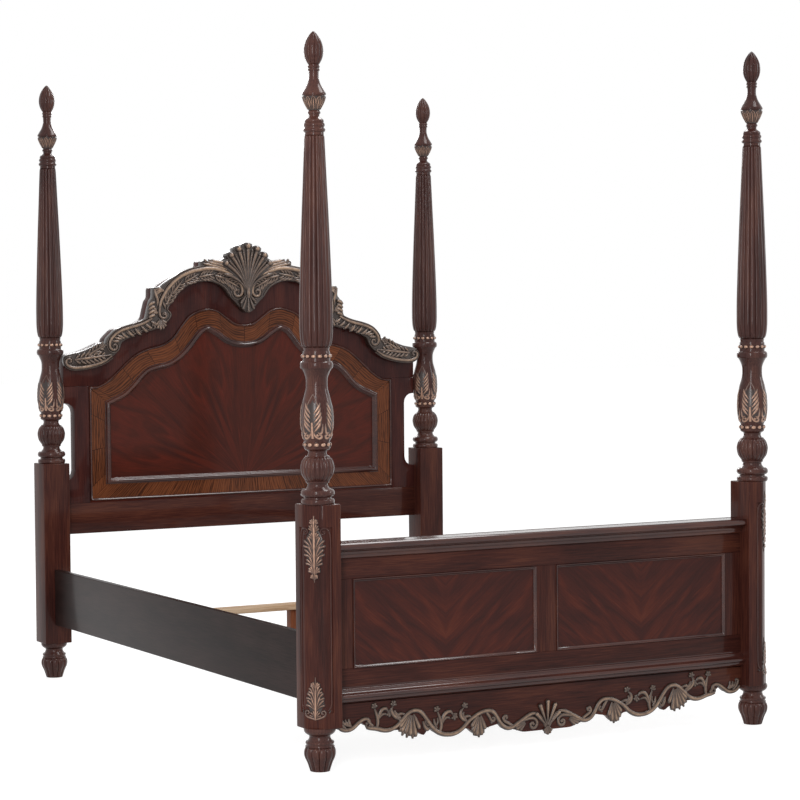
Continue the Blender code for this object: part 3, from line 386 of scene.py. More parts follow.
def turned(runs, sides, steps=4):
    """Spin a profile round Z; each run of (height, radius) in mm is smooth, and runs meet crisply."""
    profile = [p for run in runs for p in smooth_line(run, steps)]
    profile = [(profile[0].x, 0.0), *profile, (profile[-1].x, 0.0)]
    bm = bmesh.new()
    line = [bm.verts.new((radius * MM, 0, height * MM)) for height, radius in profile]
    edges = [bm.edges.new(pair) for pair in zip(line, line[1:])]
    bmesh.ops.spin(bm, geom=line + edges, axis=(0, 0, 1), cent=(0, 0, 0), dvec=(0, 0, 0),
                   angle=2 * math.pi, steps=sides, use_merge=True, use_duplicate=False)
    bmesh.ops.remove_doubles(bm, verts=bm.verts, dist=0.02 * MM)
    bmesh.ops.recalc_face_normals(bm, faces=bm.faces)
    return bm


def prism(outline, direction, edge=0.0, segments=2):
    """Draw a flat outline of 3-D points out along a direction, with its two rims rounded over if asked."""
    bm = bmesh.new()
    face = bm.faces.new([bm.verts.new(p) for p in outline])
    drawn = bmesh.ops.extrude_face_region(bm, geom=[face], use_keep_orig=True)["geom"]
    bmesh.ops.translate(bm, verts=[v for v in drawn if isinstance(v, bmesh.types.BMVert)], vec=direction)
    bmesh.ops.recalc_face_normals(bm, faces=bm.faces)
    if edge:
        rims = [e for f in bm.faces if len(f.verts) == len(outline) for e in f.edges]
        bmesh.ops.bevel(bm, geom=rims, offset=edge, affect="EDGES", segments=segments, profile=0.5,
                        material=-1, clamp_overlap=True)
    return bm


def piece(name, bm, material, stands_for=(), body=BED, crease=35):
    """Finish a bmesh: a named object with its material, its body and the solids that it stands for."""
    mesh = bpy.data.meshes.new(name)
    bm.to_mesh(mesh)
    bm.free()
    mesh.shade_smooth()
    mesh.set_sharp_from_angle(angle=math.radians(crease))
    mesh.materials.append(material)
    made = bpy.data.objects.new(name, mesh)
    bpy.context.scene.collection.objects.link(made)
    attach(made, body)
    if stands_for:
        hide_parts(*stands_for)
    return made


def joined(*parts):
    """One bmesh of several; the others are freed."""
    first = parts[0]
    for other in parts[1:]:
        carrier = bpy.data.meshes.new("carrier")
        other.to_mesh(carrier)
        other.free()
        first.from_mesh(carrier)
        bpy.data.meshes.remove(carrier)
    return first


# %% [markdown]
# ## Reeds and lobes
#
# Reeds on a column and gadroons on a ball are the same cut: a ring of rounded ridges that a carver sinks
# into a finished turning. Each point of the turning is pressed inwards by how far it lies from the crest
# of its ridge. The ridges end in half-round tips, which come from counting the distance past the tip's
# start as well.

# %% Sink a ring of rounded ridges
def sink_ridges(bm, count, low, high, depth, tip=(1.0, 1.0)):
    """Press a turning in between ridges; tip is each end's length in ridge half widths, 0 for none."""
    for vert in bm.verts:
        height = vert.co.z / MM
        if not low <= height <= high:
            continue
        radius = vert.co.xy.length
        half = math.pi * radius / count / MM
        turn = math.atan2(vert.co.y, vert.co.x) * count / math.tau % 1.0
        aside = abs(2 * turn - 1)
        past = 0.0
        for reach, length in zip((height - low, high - height), tip):
            if length:
                past = max(past, 1 - reach / (half * length))
        away = min(aside ** 2 + past ** 2, 1.0)
        vert.co.xy *= 1 - depth * MM * (1 - math.sqrt(1 - away)) / radius


# %% [markdown]
# ## Carved strokes
#
# Scrolls, ribs and leaf lobes are all strokes of a gouge: rounded ridges that follow a drawn line and
# swell and taper on the way. A Curve object does just that. Each stroke is a Bezier spline through
# points of (across, up, half width) in millimetres, and the curve's round bevel gives it a body. The
# strokes are made flat on the drawing board, meshed, marked with how high they stand and how squarely
# they face out, which gives rubbed gold on the highs and a painted highlight along each crest, and then
# laid on the wood: straight on a board, or wrapped round a post. Volutes, fans, leaves, fringes and
# garlands are built up from such strokes by small functions.

# %% Strokes
def strokes_mesh(strokes, squash=1.0, gold_height=7.0, beads=()):
    """Flat strokes and round beads (across, up, radius) as a bmesh: X across, Y up, Z out of the ground."""
    drawing = bpy.data.curves.new("strokes", "CURVE")
    drawing.dimensions = "3D"
    drawing.bevel_depth = MM
    drawing.bevel_resolution = 2
    drawing.resolution_u = 3
    drawing.use_fill_caps = True
    for stroke in strokes:
        spline = drawing.splines.new("BEZIER")
        spline.bezier_points.add(len(stroke) - 1)
        for point, (across, up, half) in zip(spline.bezier_points, stroke):
            point.co = (across * MM, up * MM, 0)
            point.radius = half
            point.handle_left_type = point.handle_right_type = "AUTO"
    carrier = bpy.data.objects.new("strokes", drawing)
    bpy.context.scene.collection.objects.link(carrier)
    solid = carrier.evaluated_get(bpy.context.evaluated_depsgraph_get())
    mesh = bpy.data.meshes.new_from_object(solid)
    bm = bmesh.new()
    bm.from_mesh(mesh)
    bpy.data.objects.remove(carrier)
    bpy.data.curves.remove(drawing)
    bpy.data.meshes.remove(mesh)
    for across, up, radius in beads:
        bmesh.ops.create_icosphere(bm, subdivisions=2, radius=radius * MM,
                                   matrix=Matrix.Translation((across * MM, up * MM, 0)))
    bmesh.ops.recalc_face_normals(bm, faces=bm.faces)
    bm.normal_update()
    # Gold on the highs, times how squarely a point faces out of its ground: the facing term paints a
    # highlight along each crest.
    gilt_and_crest_highlight = bm.verts.layers.float.new("gilt_and_crest_highlight")
    for vert in bm.verts:
        height = min(max(vert.co.z / MM / gold_height, 0.0), 1.0)
        vert[gilt_and_crest_highlight] = max(vert.normal.z, 0.0) ** 2 * (0.25 + 0.75 * height)
    bmesh.ops.scale(bm, vec=(1, 1, squash), verts=bm.verts)
    return bm


def on_board(bm, front, hand=1):
    """Stand a flat carving up against a board's front face; hand -1 lays down its mirror image."""
    laid = bm.copy()
    stand = Matrix.Translation((0, front, 0)) @ Matrix.Rotation(math.radians(90), 4, "X")
    bmesh.ops.transform(laid, matrix=stand, verts=laid.verts)
    if hand < 0:
        bmesh.ops.scale(laid, vec=(-1, 1, 1), verts=laid.verts)
        bmesh.ops.recalc_face_normals(laid, faces=laid.faces)
    return laid


def curl(path, radius, turns, hand, tip=0.45):
    """Wind the end of a stroke into a volute: hand +1 turns left, -1 turns right."""
    before, end = Vector(path[-2][:2]), Vector(path[-1][:2])
    ahead = (end - before).normalized()
    centre = end + Vector((-ahead.y, ahead.x)) * hand * radius
    start = math.atan2(end.y - centre.y, end.x - centre.x)
    steps = round(turns * 10)
    wound = []
    for step in range(1, steps + 1):
        share = step / steps
        reach = radius * (1 - 0.86 * share ** 0.85)
        angle = start + hand * math.tau * turns * share
        wound.append((centre.x + reach * math.cos(angle), centre.y + reach * math.sin(angle),
                      path[-1][2] * (1 - (1 - tip) * share)))
    return list(path) + wound


def beside(path, distance):
    """A stroke alongside another, to its left for a positive distance."""
    moved = []
    for i, (across, up, half) in enumerate(path):
        before, after = path[max(i - 1, 0)], path[min(i + 1, len(path) - 1)]
        ahead = Vector((after[0] - before[0], after[1] - before[1])).normalized()
        moved.append((across - ahead.y * distance, up + ahead.x * distance, half))
    return moved


def fringe(path, count, length, lean, half, first=0.0, last=1.0):
    """Leaf lobes along one side of a stroke: to its left for a positive length."""
    line = smooth_line(path, 6)
    lobes = []
    for i in range(count):
        share = first + (last - first) * (i + 0.5) / count
        place = min(int(share * (len(line) - 1)), len(line) - 2)
        root, after = line[place].xy, line[place + 1].xy
        ahead = (after - root).normalized()
        out = Vector((-ahead.y, ahead.x)) * length
        along = ahead * lean
        swell = 0.75 + 0.25 * math.sin(math.pi * (i + 0.5) / count)
        lobes.append([(*root, half * 0.55), (*(root + (out * 0.45 + along * 0.25) * swell), half),
                      (*(root + (out * 0.85 + along * 0.7) * swell), half * 0.95),
                      (*(root + (out + along) * swell), half * 0.4)])
    return lobes


def fan(across, up, angles, lengths, half, flare=0.0, start=0.15):
    """Ribs from a point, at angles in degrees clockwise from straight up; flare bends them apart."""
    ribs = []
    for angle, length in zip(angles, lengths):
        rib = []
        for share, width in ((start, 0.35), (0.45, 0.62), (0.75, 0.9), (0.95, 1.0), (1.05, 0.6)):
            turn = math.radians(angle * (1 - flare * (1 - share)))
            rib.append((across + math.sin(turn) * length * share, up + math.cos(turn) * length * share,
                        half * width))
        ribs.append(rib)
    return ribs


def leaf(across, up, heading, length, width, lobes, half=2.6, sweep=0.55):
    """A flat acanthus leaf: a midrib and pairs of lobes; heading in degrees from straight up, clockwise."""
    turn = math.radians(heading)
    ahead, aside = Vector((math.sin(turn), math.cos(turn))), Vector((math.cos(turn), -math.sin(turn)))
    root = Vector((across, up))
    ribs = [[(*(root + ahead * length * share), half * size)
             for share, size in ((0, 0.9), (0.35, 1.25), (0.7, 1.0), (1.0, 0.5))]]
    for i in range(lobes):
        share = (i + 0.35) / (lobes + 0.4)
        reach = width / 2 * math.sin(math.pi * (0.22 + 0.72 * share)) ** 0.8
        for hand in (-1, 1):
            start = root + ahead * length * share * 0.86
            middle = start + aside * hand * reach * 0.5 + ahead * reach * sweep * 0.35
            bend = start + aside * hand * reach * 0.88 + ahead * reach * sweep
            tip = start + aside * hand * reach + ahead * reach * (sweep + 0.35)
            ribs.append([(*start, half * 0.5), (*middle, half * 0.95), (*bend, half), (*tip, half * 0.45)])
    return ribs


def garland(path, places, length, width, half):
    """Acanthus leaves one behind the other along a stroke, each lying along it."""
    line = smooth_line(path, 6)
    leaves = []
    for share in places:
        place = min(int(share * (len(line) - 1)), len(line) - 2)
        ahead = line[place + 1] - line[place]
        heading = math.degrees(math.atan2(ahead.x, ahead.y))
        leaves += leaf(line[place].x, line[place].y, heading, length, width, 4, half, 0.95)
    return leaves


print("tools for shapes are ready")

# %% [markdown]
# ## Turned posts
#
# Each post is three turnings, one above the other. The lower blank has a gadrooned bun foot, a square
# block and a vase with a gadrooned ball under it. The upper post is a tulip-shaped reeded column. The
# finial is a leaf-carved cup with a fluted bud. The profiles below are pairs of height above the floor
# and radius, bottom to top, and a new run starts where the lathe tool leaves a crisp edge.

# %% Profiles of the posts
FOOT = (
    # bun
    ((0, 29.5), (2, 30.5), (14, 34.5), (27, 39), (42, 46), (54, 48.4), (68, 47), (76, 43.5)),
    # bead over the bun
    ((76, 42), (80, 41), (86, 43.3), (90, 41)),
    # neck
    ((90, 38), (97, 33.5), (104, 31.8), (109, 34)),
    # collar under the block
    ((109, 36), (113, 42), (117, 45.5), (123, 48), (131, 47.5)),
)
VASE = (
    # base ring
    ((797, 46), (800, 49), (805, 50.3), (811, 49.5), (814, 46.5)),
    # groove
    ((814, 42), (818, 40.8), (822, 43)),
    # ring
    ((822, 47), (827, 50.4), (832, 50.8), (838, 49), (842, 45)),
    # neck
    ((842, 39), (850, 32), (857, 30.3), (861, 31.5)),
    # gadrooned ball
    ((861, 34), (866, 35.5), (870, 37), (884, 46.5), (900, 50.4), (911, 50.6), (926, 46.5), (937, 39),
     (941, 35)),
    # neck
    ((941, 31), (945, 29.5), (949, 27.8), (955, 28.6), (959, 32)),
    # ring
    ((959, 34.5), (963, 38.5), (967, 39.2)),
    # fillet
    ((967, 37.5), (975, 37.8), (983, 37.5)),
    # leaf-carved vase
    ((983, 37), (989, 39.5), (1000, 42.8), (1014, 45.4), (1034, 47.6), (1054, 47.9), (1080, 45.9),
     (1106, 41.8), (1132, 35), (1141, 33.2), (1150, 32.4)),
)
COLUMN = (
    # neck
    ((1150.3, 32.4), (1164, 32.4), (1176, 34), (1190, 39.5), (1198, 44), (1201, 46)),
    # ring
    ((1201, 48), (1206, 49.3), (1212, 49.4), (1218, 48), (1222, 44)),
    # ground of the beads
    ((1222, 41), (1229, 40.6), (1237, 40.6), (1245, 40.6), (1252, 39.5)),
    # groove
    ((1252, 38), (1258, 38.4), (1263, 40)),
    # reeded tulip
    ((1263, 41.5), (1270, 44.2), (1280, 46.7), (1294, 48.6), (1312, 49.7), (1332, 49.9), (1370, 49.8),
     (1420, 48.7), (1500, 46.2), (1580, 43.2), (1660, 40), (1740, 36.4), (1800, 33.8), (1850, 31.6),
     (1880, 30.2), (1889, 29.6)),
    # flat top
    ((1889, 28.2), (1897.3, 28)),
)
FINIAL = (
    # foot
    ((1897.6, 29), (1901, 32.2), (1905, 32.8), (1909, 31)),
    # groove
    ((1909, 29), (1913, 29), (1916, 31)),
    # ring
    ((1916, 31.2), (1920, 31.4), (1925, 29.5)),
    # bell
    ((1925, 27), (1930, 28.6), (1935, 26.5), (1940, 20), (1944, 15.6)),
    # neck
    ((1944, 15.3), (1952, 16.2)),
    # ring
    ((1952, 18.6), (1956, 19), (1960, 17)),
    # leaf-carved cup
    ((1960, 15.5), (1964, 17.6), (1974, 22.6), (1986, 28.6), (1996, 32.6), (2003, 34.4)),
    # groove
    ((2003, 32), (2006, 32)),
    # lid over the cup
    ((2006, 34.5), (2009, 35.8), (2012, 35.4), (2017, 32.5), (2027, 26.4), (2038, 20.2), (2049, 16.6),
     (2054, 15.4)),
    # waist
    ((2054, 14.8), (2066, 14.4), (2078, 15)),
    # lower ring
    ((2078, 17.2), (2081, 17.8), (2084, 16.6)),
    # groove
    ((2084, 15.6), (2087, 15.6)),
    # upper ring
    ((2087, 17.4), (2090, 18), (2093, 17)),
    # fluted bud
    ((2093, 16), (2097, 16.6), (2103, 20), (2114, 25.4), (2128, 28.6), (2140, 29), (2154, 27),
     (2168, 22), (2180, 15), (2189, 8), (2194.6, 1.6)),
)


def radius_at(profile, height):
    """A turning's radius in mm at a height, for things that are laid on it."""
    line = [p for run in profile for p in smooth_line(run, 4)]
    for (low, near), (high, far) in zip(line, line[1:]):
        if low <= height <= high and high > low:
            return near + (far - near) * (height - low) / (high - low)
    return line[-1][1]


LEAST_WRAP = 20 * MM          # a slimmer turning is wrapped as if it had this radius


def on_turning(bm, profile, facing, sink=0.0):
    """Wrap a flat carving round a turning, centred on a direction in degrees."""
    for vert in bm.verts:
        radius = radius_at(profile, vert.co.y / MM) * MM
        angle = math.radians(facing) + vert.co.x / max(radius, LEAST_WRAP)
        reach = radius + vert.co.z - sink * MM
        vert.co = (reach * math.cos(angle), reach * math.sin(angle), vert.co.y)
    bmesh.ops.recalc_face_normals(bm, faces=bm.faces)
    return bm


def bead_ring(count, height, radius, size):
    """A ring of oval beads round a post, with the gold rubbed over their middles."""
    bm = bmesh.new()
    gilt_and_crest_highlight = bm.verts.layers.float.new("gilt_and_crest_highlight")
    for i in range(count):
        angle = math.tau * i / count
        turn = Matrix.Rotation(angle, 4, "Z") @ Matrix.Translation((radius * MM, 0, height * MM))
        stretch = Matrix.Diagonal((size[0], size[1], size[2], 1))
        made = bmesh.ops.create_icosphere(bm, subdivisions=2, radius=MM, matrix=turn @ stretch)["verts"]
        for vert in made:
            vert[gilt_and_crest_highlight] = min(max((vert.co.xy.length / MM - radius) / size[0], 0), 1)
    return bm


post_low, post_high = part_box("foot_right_lower_post")
CORNERS = {}
for corner in ("head_left", "head_right", "foot_left", "foot_right"):
    low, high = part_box(corner + "_post_stud")
    CORNERS[corner] = Vector(((low.x + high.x) / 2, (low.y + high.y) / 2, 0))

foot = turned(FOOT, sides=144)
sink_ridges(foot, count=12, low=1, high=74, depth=5.5, tip=(0.0, 1.3))
vase = turned(VASE, sides=140)
sink_ridges(vase, count=20, low=866, high=938, depth=3.2, tip=(0.6, 0.9))
column = turned(COLUMN, sides=192, steps=5)
sink_ridges(column, count=16, low=1263, high=1888.5, depth=4.6, tip=(1.1, 0.8))
finial = turned(FINIAL, sides=120)
sink_ridges(finial, count=10, low=2096, high=2193, depth=3.4, tip=(0.7, 0.0))
sink_ridges(finial, count=12, low=1962, high=2003, depth=2.2, tip=(0.5, 0.9))
turnings = {"foot": foot, "vase": vase, "column": column, "finial": finial}
for label, bm in turnings.items():
    print(label, "turning:", len(bm.faces), "faces")

# %% [markdown]
# ## Leaves on the vase and the finial's cup
#
# Four acanthus leaves stand on the vase, facing the post's corners, with smooth wood between them. Each
# has a pointed tip outlined by two fine lines, slanting ribs like a feather's, and two rolled lobes at
# its foot where the gold is strongest. Under them lies a thin dark body, which gives the leaf its edge.
# The cup has a ring of pointed leaves, each an outline about a midrib, over a dark glazed ground. All
# are drawn flat and wrapped round the turning, and rings of oval beads finish the post's necks.

# %% Vase leaves, cup leaves and bead rings
CUP_LEAVES, CUP_RADIUS = 12, 26
GROUND = 1000                # a gold height that no ground reaches, so the umber stays on it


def vase_leaf():
    """One leaf of the vase, drawn flat, with heights above the floor."""
    ribs = [[(0, 994, 6.5), (0, 1020, 6.0), (0, 1050, 4.6), (0, 1086, 2.8), (0, 1106, 1.6)]]
    for hand in (-1, 1):
        ribs.append([(0, 1126, 1.8), (hand * 8, 1111, 2.3), (hand * 15, 1096, 2.6), (hand * 17, 1086, 1.8)])
        for i in range(5):
            root, reach = 1012 + 13.5 * i, 29 - 2.0 * abs(i - 1)
            ribs.append([(hand * 4, root, 2.6), (hand * reach * 0.5, root + 10, 5.0),
                         (hand * reach * 0.85, root + 23, 5.6), (hand * reach, root + 34, 3.0)])
        ribs.append(curl([(hand * 3, 1012, 4.2), (hand * 8, 1002, 5.2), (hand * 16, 995, 5.8)],
                         9, 0.8, hand, 0.8))
        ribs.append([(hand * 16, 1012, 3.4), (hand * 26, 1009, 5.4), (hand * 31, 1021, 4.6),
                     (hand * 33, 1038, 2.2)])
    body = [[(0, 996, 16), (0, 1016, 29), (0, 1046, 30), (0, 1080, 23), (0, 1102, 13), (0, 1126, 3)]]
    return joined(strokes_mesh(ribs, squash=0.6, gold_height=6.0, beads=[(15, 1003, 6.5), (-15, 1003, 6.5)]),
                  strokes_mesh(body, squash=0.1, gold_height=GROUND))


def cup_leaves():
    """A ring of pointed leaves round the finial's cup, each an outline about a midrib."""
    ribs = []
    for i in range(CUP_LEAVES):
        middle = math.tau * CUP_RADIUS * i / CUP_LEAVES
        ribs.append([(middle, 1965, 1.6), (middle, 1978, 2.4), (middle, 1990, 2.0), (middle, 1997, 1.0)])
        for hand in (-1, 1):
            ribs.append([(middle + hand * 4.6, 1964, 1.0), (middle + hand * 5.2, 1982, 1.7),
                         (middle + hand * 4.2, 1994, 1.7), (middle, 2001.5, 1.2)])
    return strokes_mesh(ribs, squash=0.9, gold_height=2.2)


def wrapped_ring(bm, profile, unrolled, proud=0.5):
    """Wrap a ring that was drawn flat at a fixed unrolled radius, a little proud of the turning."""
    for vert in bm.verts:
        angle = vert.co.x / (unrolled * MM)
        reach = radius_at(profile, vert.co.y / MM) * MM + vert.co.z + proud * MM
        vert.co = (reach * math.cos(angle), reach * math.sin(angle), vert.co.y)
    bmesh.ops.recalc_face_normals(bm, faces=bm.faces)
    return bm


leaves = joined(*[on_turning(vase_leaf(), VASE, facing, sink=0.9) for facing in (45, 135, 225, 315)],
                bead_ring(count=12, height=975, radius=38.2, size=(5.2, 8.4, 6.8)))
collar = bead_ring(count=14, height=1237, radius=40.8, size=(5.6, 8.0, 6.2))
CUP_GROUND = (((1962, 16.8), (1974, 23.4), (1986, 29.2), (1996, 33.2), (2002.5, 34.8)),)
cup_ground = turned(CUP_GROUND, sides=72)
cup_ground.verts.layers.float.new("gilt_and_crest_highlight")
cup = joined(wrapped_ring(cup_leaves(), FINIAL, CUP_RADIUS), cup_ground)
print("carved rings and leaves:", len(leaves.faces) + len(collar.faces) + len(cup.faces), "faces a post")

# %% [markdown]
# ## Square blocks
#
# The head posts have plain square blocks. On the foot posts the outer corner is planed off and rounded,
# and a shallow field is sunk round it. The block is drawn in plan, drawn out upwards, eased at its edges,
# cut at the field's ends and inset there. The drawing is made with X pointing out through the corner;
# a turn of 45 degrees then brings it into place.

# %% Corner blocks
HALF_SIDE = (post_high.x - post_low.x) / 2 / MM
CANT, CANT_ROUND = 45, 24
BLOCK_LOW, BLOCK_HIGH = 130, 798
FIELD_LOW, FIELD_HIGH, FIELD_REACH, FIELD_DEPTH = 178, 731, 58, 3.6


def corner_spot(along):
    """Out, aside and turn at a distance in mm round the block's outline from the middle of the cant."""
    flat = CANT / math.sqrt(2) - CANT_ROUND * math.tan(math.pi / 8)
    turn = min(max(abs(along) - flat, 0) / CANT_ROUND, math.pi / 4)
    straight = max(abs(along) - flat - CANT_ROUND * math.pi / 4, 0)
    aside = min(abs(along), flat) + CANT_ROUND * math.sin(turn) + straight * math.cos(turn)
    out = ((HALF_SIDE - CANT / 2) * math.sqrt(2) - CANT_ROUND * (1 - math.cos(turn))
           - straight * math.sin(turn))
    return out, math.copysign(aside, along), math.copysign(turn, along)


def eased(bm, width=1.2, angle=30, segments=2):
    """Round over every edge that is sharper than an angle, as sanding does."""
    bmesh.ops.recalc_face_normals(bm, faces=bm.faces)
    sharp = [e for e in bm.edges if len(e.link_faces) == 2 and e.calc_face_angle() > math.radians(angle)]
    bmesh.ops.bevel(bm, geom=sharp, offset=width * MM, affect="EDGES", segments=segments, profile=0.5,
                    material=-1, clamp_overlap=True)
    return bm


def corner_block():
    """A foot post's block, with its field sunk round the canted corner."""
    face_end = (CANT_ROUND * (math.pi / 4 - 2 * math.tan(math.pi / 8)) + CANT / math.sqrt(2)
                + 2 * HALF_SIDE - CANT)
    marks = [-face_end, -FIELD_REACH, *range(-44, 45, 4), FIELD_REACH, face_end]
    plan = [(out, aside) for out, aside, _ in map(corner_spot, marks)] + [(-HALF_SIDE * math.sqrt(2), 0)]
    bm = prism([(x * MM, y * MM, BLOCK_LOW * MM) for x, y in plan], (0, 0, (BLOCK_HIGH - BLOCK_LOW) * MM))
    eased(bm, width=2.4, angle=50, segments=3)
    for height in (FIELD_LOW, FIELD_HIGH):
        bmesh.ops.bisect_plane(bm, geom=[*bm.verts, *bm.edges, *bm.faces], plane_co=(0, 0, height * MM),
                               plane_no=(0, 0, 1))
    edge = corner_spot(FIELD_REACH)[0] * MM
    field = [f for f in bm.faces if f.calc_center_median().x > edge
             and FIELD_LOW * MM < f.calc_center_median().z < FIELD_HIGH * MM]
    bmesh.ops.inset_region(bm, faces=field, thickness=1.2 * MM, depth=-FIELD_DEPTH * MM, use_boundary=True,
                           use_even_offset=True)
    return bm


def round_corner(bm):
    """Bend a flat carving round the canted corner: X along the outline, Y up, Z out."""
    for vert in bm.verts:
        out, aside, turn = corner_spot(vert.co.x / MM)
        proud = vert.co.z / MM
        vert.co = ((out + proud * math.cos(turn)) * MM, (aside + proud * math.sin(turn)) * MM, vert.co.y)
    bmesh.ops.recalc_face_normals(bm, faces=bm.faces)
    return bm


def at_corner(bm, corner, turn=0.0):
    """A copy of a bmesh set on a corner post's axis; the left ones are mirror images."""
    placed = bm.copy()
    bmesh.ops.transform(placed, matrix=Matrix.Rotation(math.radians(turn), 4, "Z"), verts=placed.verts)
    if "left" in corner:
        bmesh.ops.scale(placed, vec=(-1, 1, 1), verts=placed.verts)
        bmesh.ops.recalc_face_normals(placed, faces=placed.faces)
    bmesh.ops.translate(placed, vec=CORNERS[corner], verts=placed.verts)
    return placed


square = bmesh.new()
bmesh.ops.create_cube(square, size=1)
bmesh.ops.scale(square, vec=(2 * HALF_SIDE * MM, 2 * HALF_SIDE * MM, (BLOCK_HIGH - BLOCK_LOW) * MM),
                verts=square.verts)
bmesh.ops.translate(square, vec=(0, 0, (BLOCK_HIGH + BLOCK_LOW) / 2 * MM), verts=square.verts)
eased(square, width=2.6, segments=3)
canted = corner_block()

for corner in CORNERS:
    block, turn = (canted, -45) if corner.startswith("foot") else (square, 0)
    piece(corner + "_turned_foot", at_corner(foot, corner), cherry_turned_painted_sheen, [corner + "_lower_post"])
    piece(corner + "_block", at_corner(block, corner, turn), cherry_upright)
    piece(corner + "_vase", at_corner(vase, corner), cherry_turned_painted_sheen)
    piece(corner + "_vase_leaves", at_corner(leaves, corner), copper_leaf, crease=60)
    piece(corner + "_reeded_column", at_corner(column, corner), cherry_turned_painted_sheen,
          [corner + "_upper_post"])
    piece(corner + "_bead_ring", at_corner(collar, corner), copper_leaf, crease=60)
    piece(corner + "_finial_bud", at_corner(finial, corner), cherry_turned_painted_sheen,
          [corner + "_finial"], body="finial_" + corner)
    piece(corner + "_finial_leaves", at_corner(cup, corner), copper_leaf, body="finial_" + corner,
          crease=60)
for made in (foot, vase, leaves, column, collar, finial, cup, square, canted):
    made.free()
print("posts stand at", [tuple(round(c, 3) for c in place.xy) for place in CORNERS.values()])

# %% [markdown]
# ## Plain boards
#
# Rails, stiles, ledgers, slats and legs are already right in size. A plain board only looks sawn out of
# plastic because its edges are perfectly sharp, so each one is copied, its flat faces are merged and its
# edges are rounded over by about a millimetre. That thin rounding is what catches the light.

# %% Boards with eased edges
def board(node, material, width=1.2, body=BED):
    """A frame piece's own shape with its edges eased; the plain one is hidden."""
    bm = bmesh.new()
    bm.from_mesh(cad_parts[node].data)
    bmesh.ops.remove_doubles(bm, verts=bm.verts, dist=0.05 * MM)
    bmesh.ops.dissolve_limit(bm, angle_limit=math.radians(1), verts=bm.verts, edges=bm.edges)
    return piece(node + "_board", eased(bm, width), material, [node], body)


for side in ("left", "right"):
    board(side + "_side_rail", espresso, width=2.0)
    board(side + "_ledger", espresso)
    board(f"headboard_{side}_stile", cherry_stile)
    board(f"footboard_{side}_stile", cherry_upright)
    for end in ("head", "foot"):
        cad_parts[f"{side}_rail_{end}_hook"].data.materials[0] = zinc
for corner in CORNERS:
    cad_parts[corner + "_post_stud"].data.materials[0] = zinc
for place in ("head", "middle", "foot"):
    board(place + "_slat", pine, width=2.0, body="slat_" + place)
    board(place + "_centre_leg", leg_wood, width=2.0, body="slat_" + place)
board("footboard_mullion", cherry_upright)
board("headboard_bottom_rail", cherry_level)
board("footboard_bottom_rail", cherry_level)
board("footboard_top_rail", cherry_level)
print("boards eased")

# %% [markdown]
# ## Arched frames
#
# The headboard's panel is framed four times over: the arch that is cut in the top rail, a bead that
# lines it, a crossbanded border and a moulding round the sunburst. All four follow two matched
# outlines. Each is drawn from the middle outwards, mirrored and closed, so that every point of one
# outline has its partner on the other.
#
# A moulding is then a set of copies of the outline, each moved inwards and forwards by one point of the
# moulding's section, and drawn out from copy to copy.

# %% Matched outlines and mouldings that follow them
OUTER = ((0, 1303), (40, 1311), (80, 1338), (112, 1359), (154, 1367), (196, 1358), (234, 1339), (268, 1301),
         (303, 1257), (345, 1232), (400, 1219), (445, 1202), (485, 1174), (525, 1138), (566, 1103),
         (606, 1081), (643.5, 1078))
INNER = ((0, 1236), (40, 1241), (76, 1256), (108, 1279), (150, 1300), (186, 1289), (212, 1263), (240, 1229),
         (275, 1195), (317, 1168), (365, 1157), (404, 1146), (440, 1119), (474, 1082), (508, 1054),
         (545, 1037), (580, 1021))
OUTER_SILL, INNER_SILL = 649.5, 710


def framed(arch, sill, steps=5):
    """A closed outline, clockwise from the top's middle: half an arch, its side and sill, mirrored."""
    half = [p.to_2d() for p in smooth_line([(x, z) for x, z in arch], steps)]
    end = half[-1]
    side = [Vector((end.x, end.y + (sill - end.y) * i / 12)) for i in range(1, 13)]
    floor = [Vector((end.x * (1 - i / 14), sill)) for i in range(1, 15)]
    right = half + side + floor
    return right + [Vector((-p.x, p.y)) for p in reversed(right[1:-1])]


def inward(loop, distance):
    """A clockwise outline moved inwards, with its corners mitred."""
    moved = []
    for before, here, after in zip([loop[-1], *loop], loop, [*loop[1:], loop[0]]):
        first, second = (here - before).normalized(), (after - here).normalized()
        first, second = Vector((first.y, -first.x)), Vector((second.y, -second.x))
        moved.append(here + (first + second) * distance / (1 + first.dot(second)))
    return moved


def ringed(loops):
    """A closed ring: one rim drawn out from each outline (loop, y in mm) to the next and home."""
    bm = bmesh.new()
    place = bm.verts.layers.int.new("place")
    start, front = loops[0]
    verts = [bm.verts.new((p.x * MM, front * MM, p.y * MM)) for p in start]
    for i, vert in enumerate(verts):
        vert[place] = i
    rim = [bm.edges.new(pair) for pair in zip(verts, [*verts[1:], verts[0]])]
    for loop, front in [*loops[1:], loops[0]]:
        drawn = bmesh.ops.extrude_edge_only(bm, edges=rim)["geom"]
        rim = [e for e in drawn if isinstance(e, bmesh.types.BMEdge)]
        for vert in {v for e in rim for v in e.verts}:
            spot = loop[vert[place]]
            vert.co = (spot.x * MM, front * MM, spot.y * MM)
    bmesh.ops.remove_doubles(bm, verts=bm.verts, dist=0.01 * MM)
    bmesh.ops.recalc_face_normals(bm, faces=bm.faces)
    return bm


def moulded(loop, section, ground):
    """A moulding that follows an outline; its section is (inwards, proud) in mm from the ground plane."""
    return ringed([(inward(loop, inset), ground - proud) for inset, proud in section])


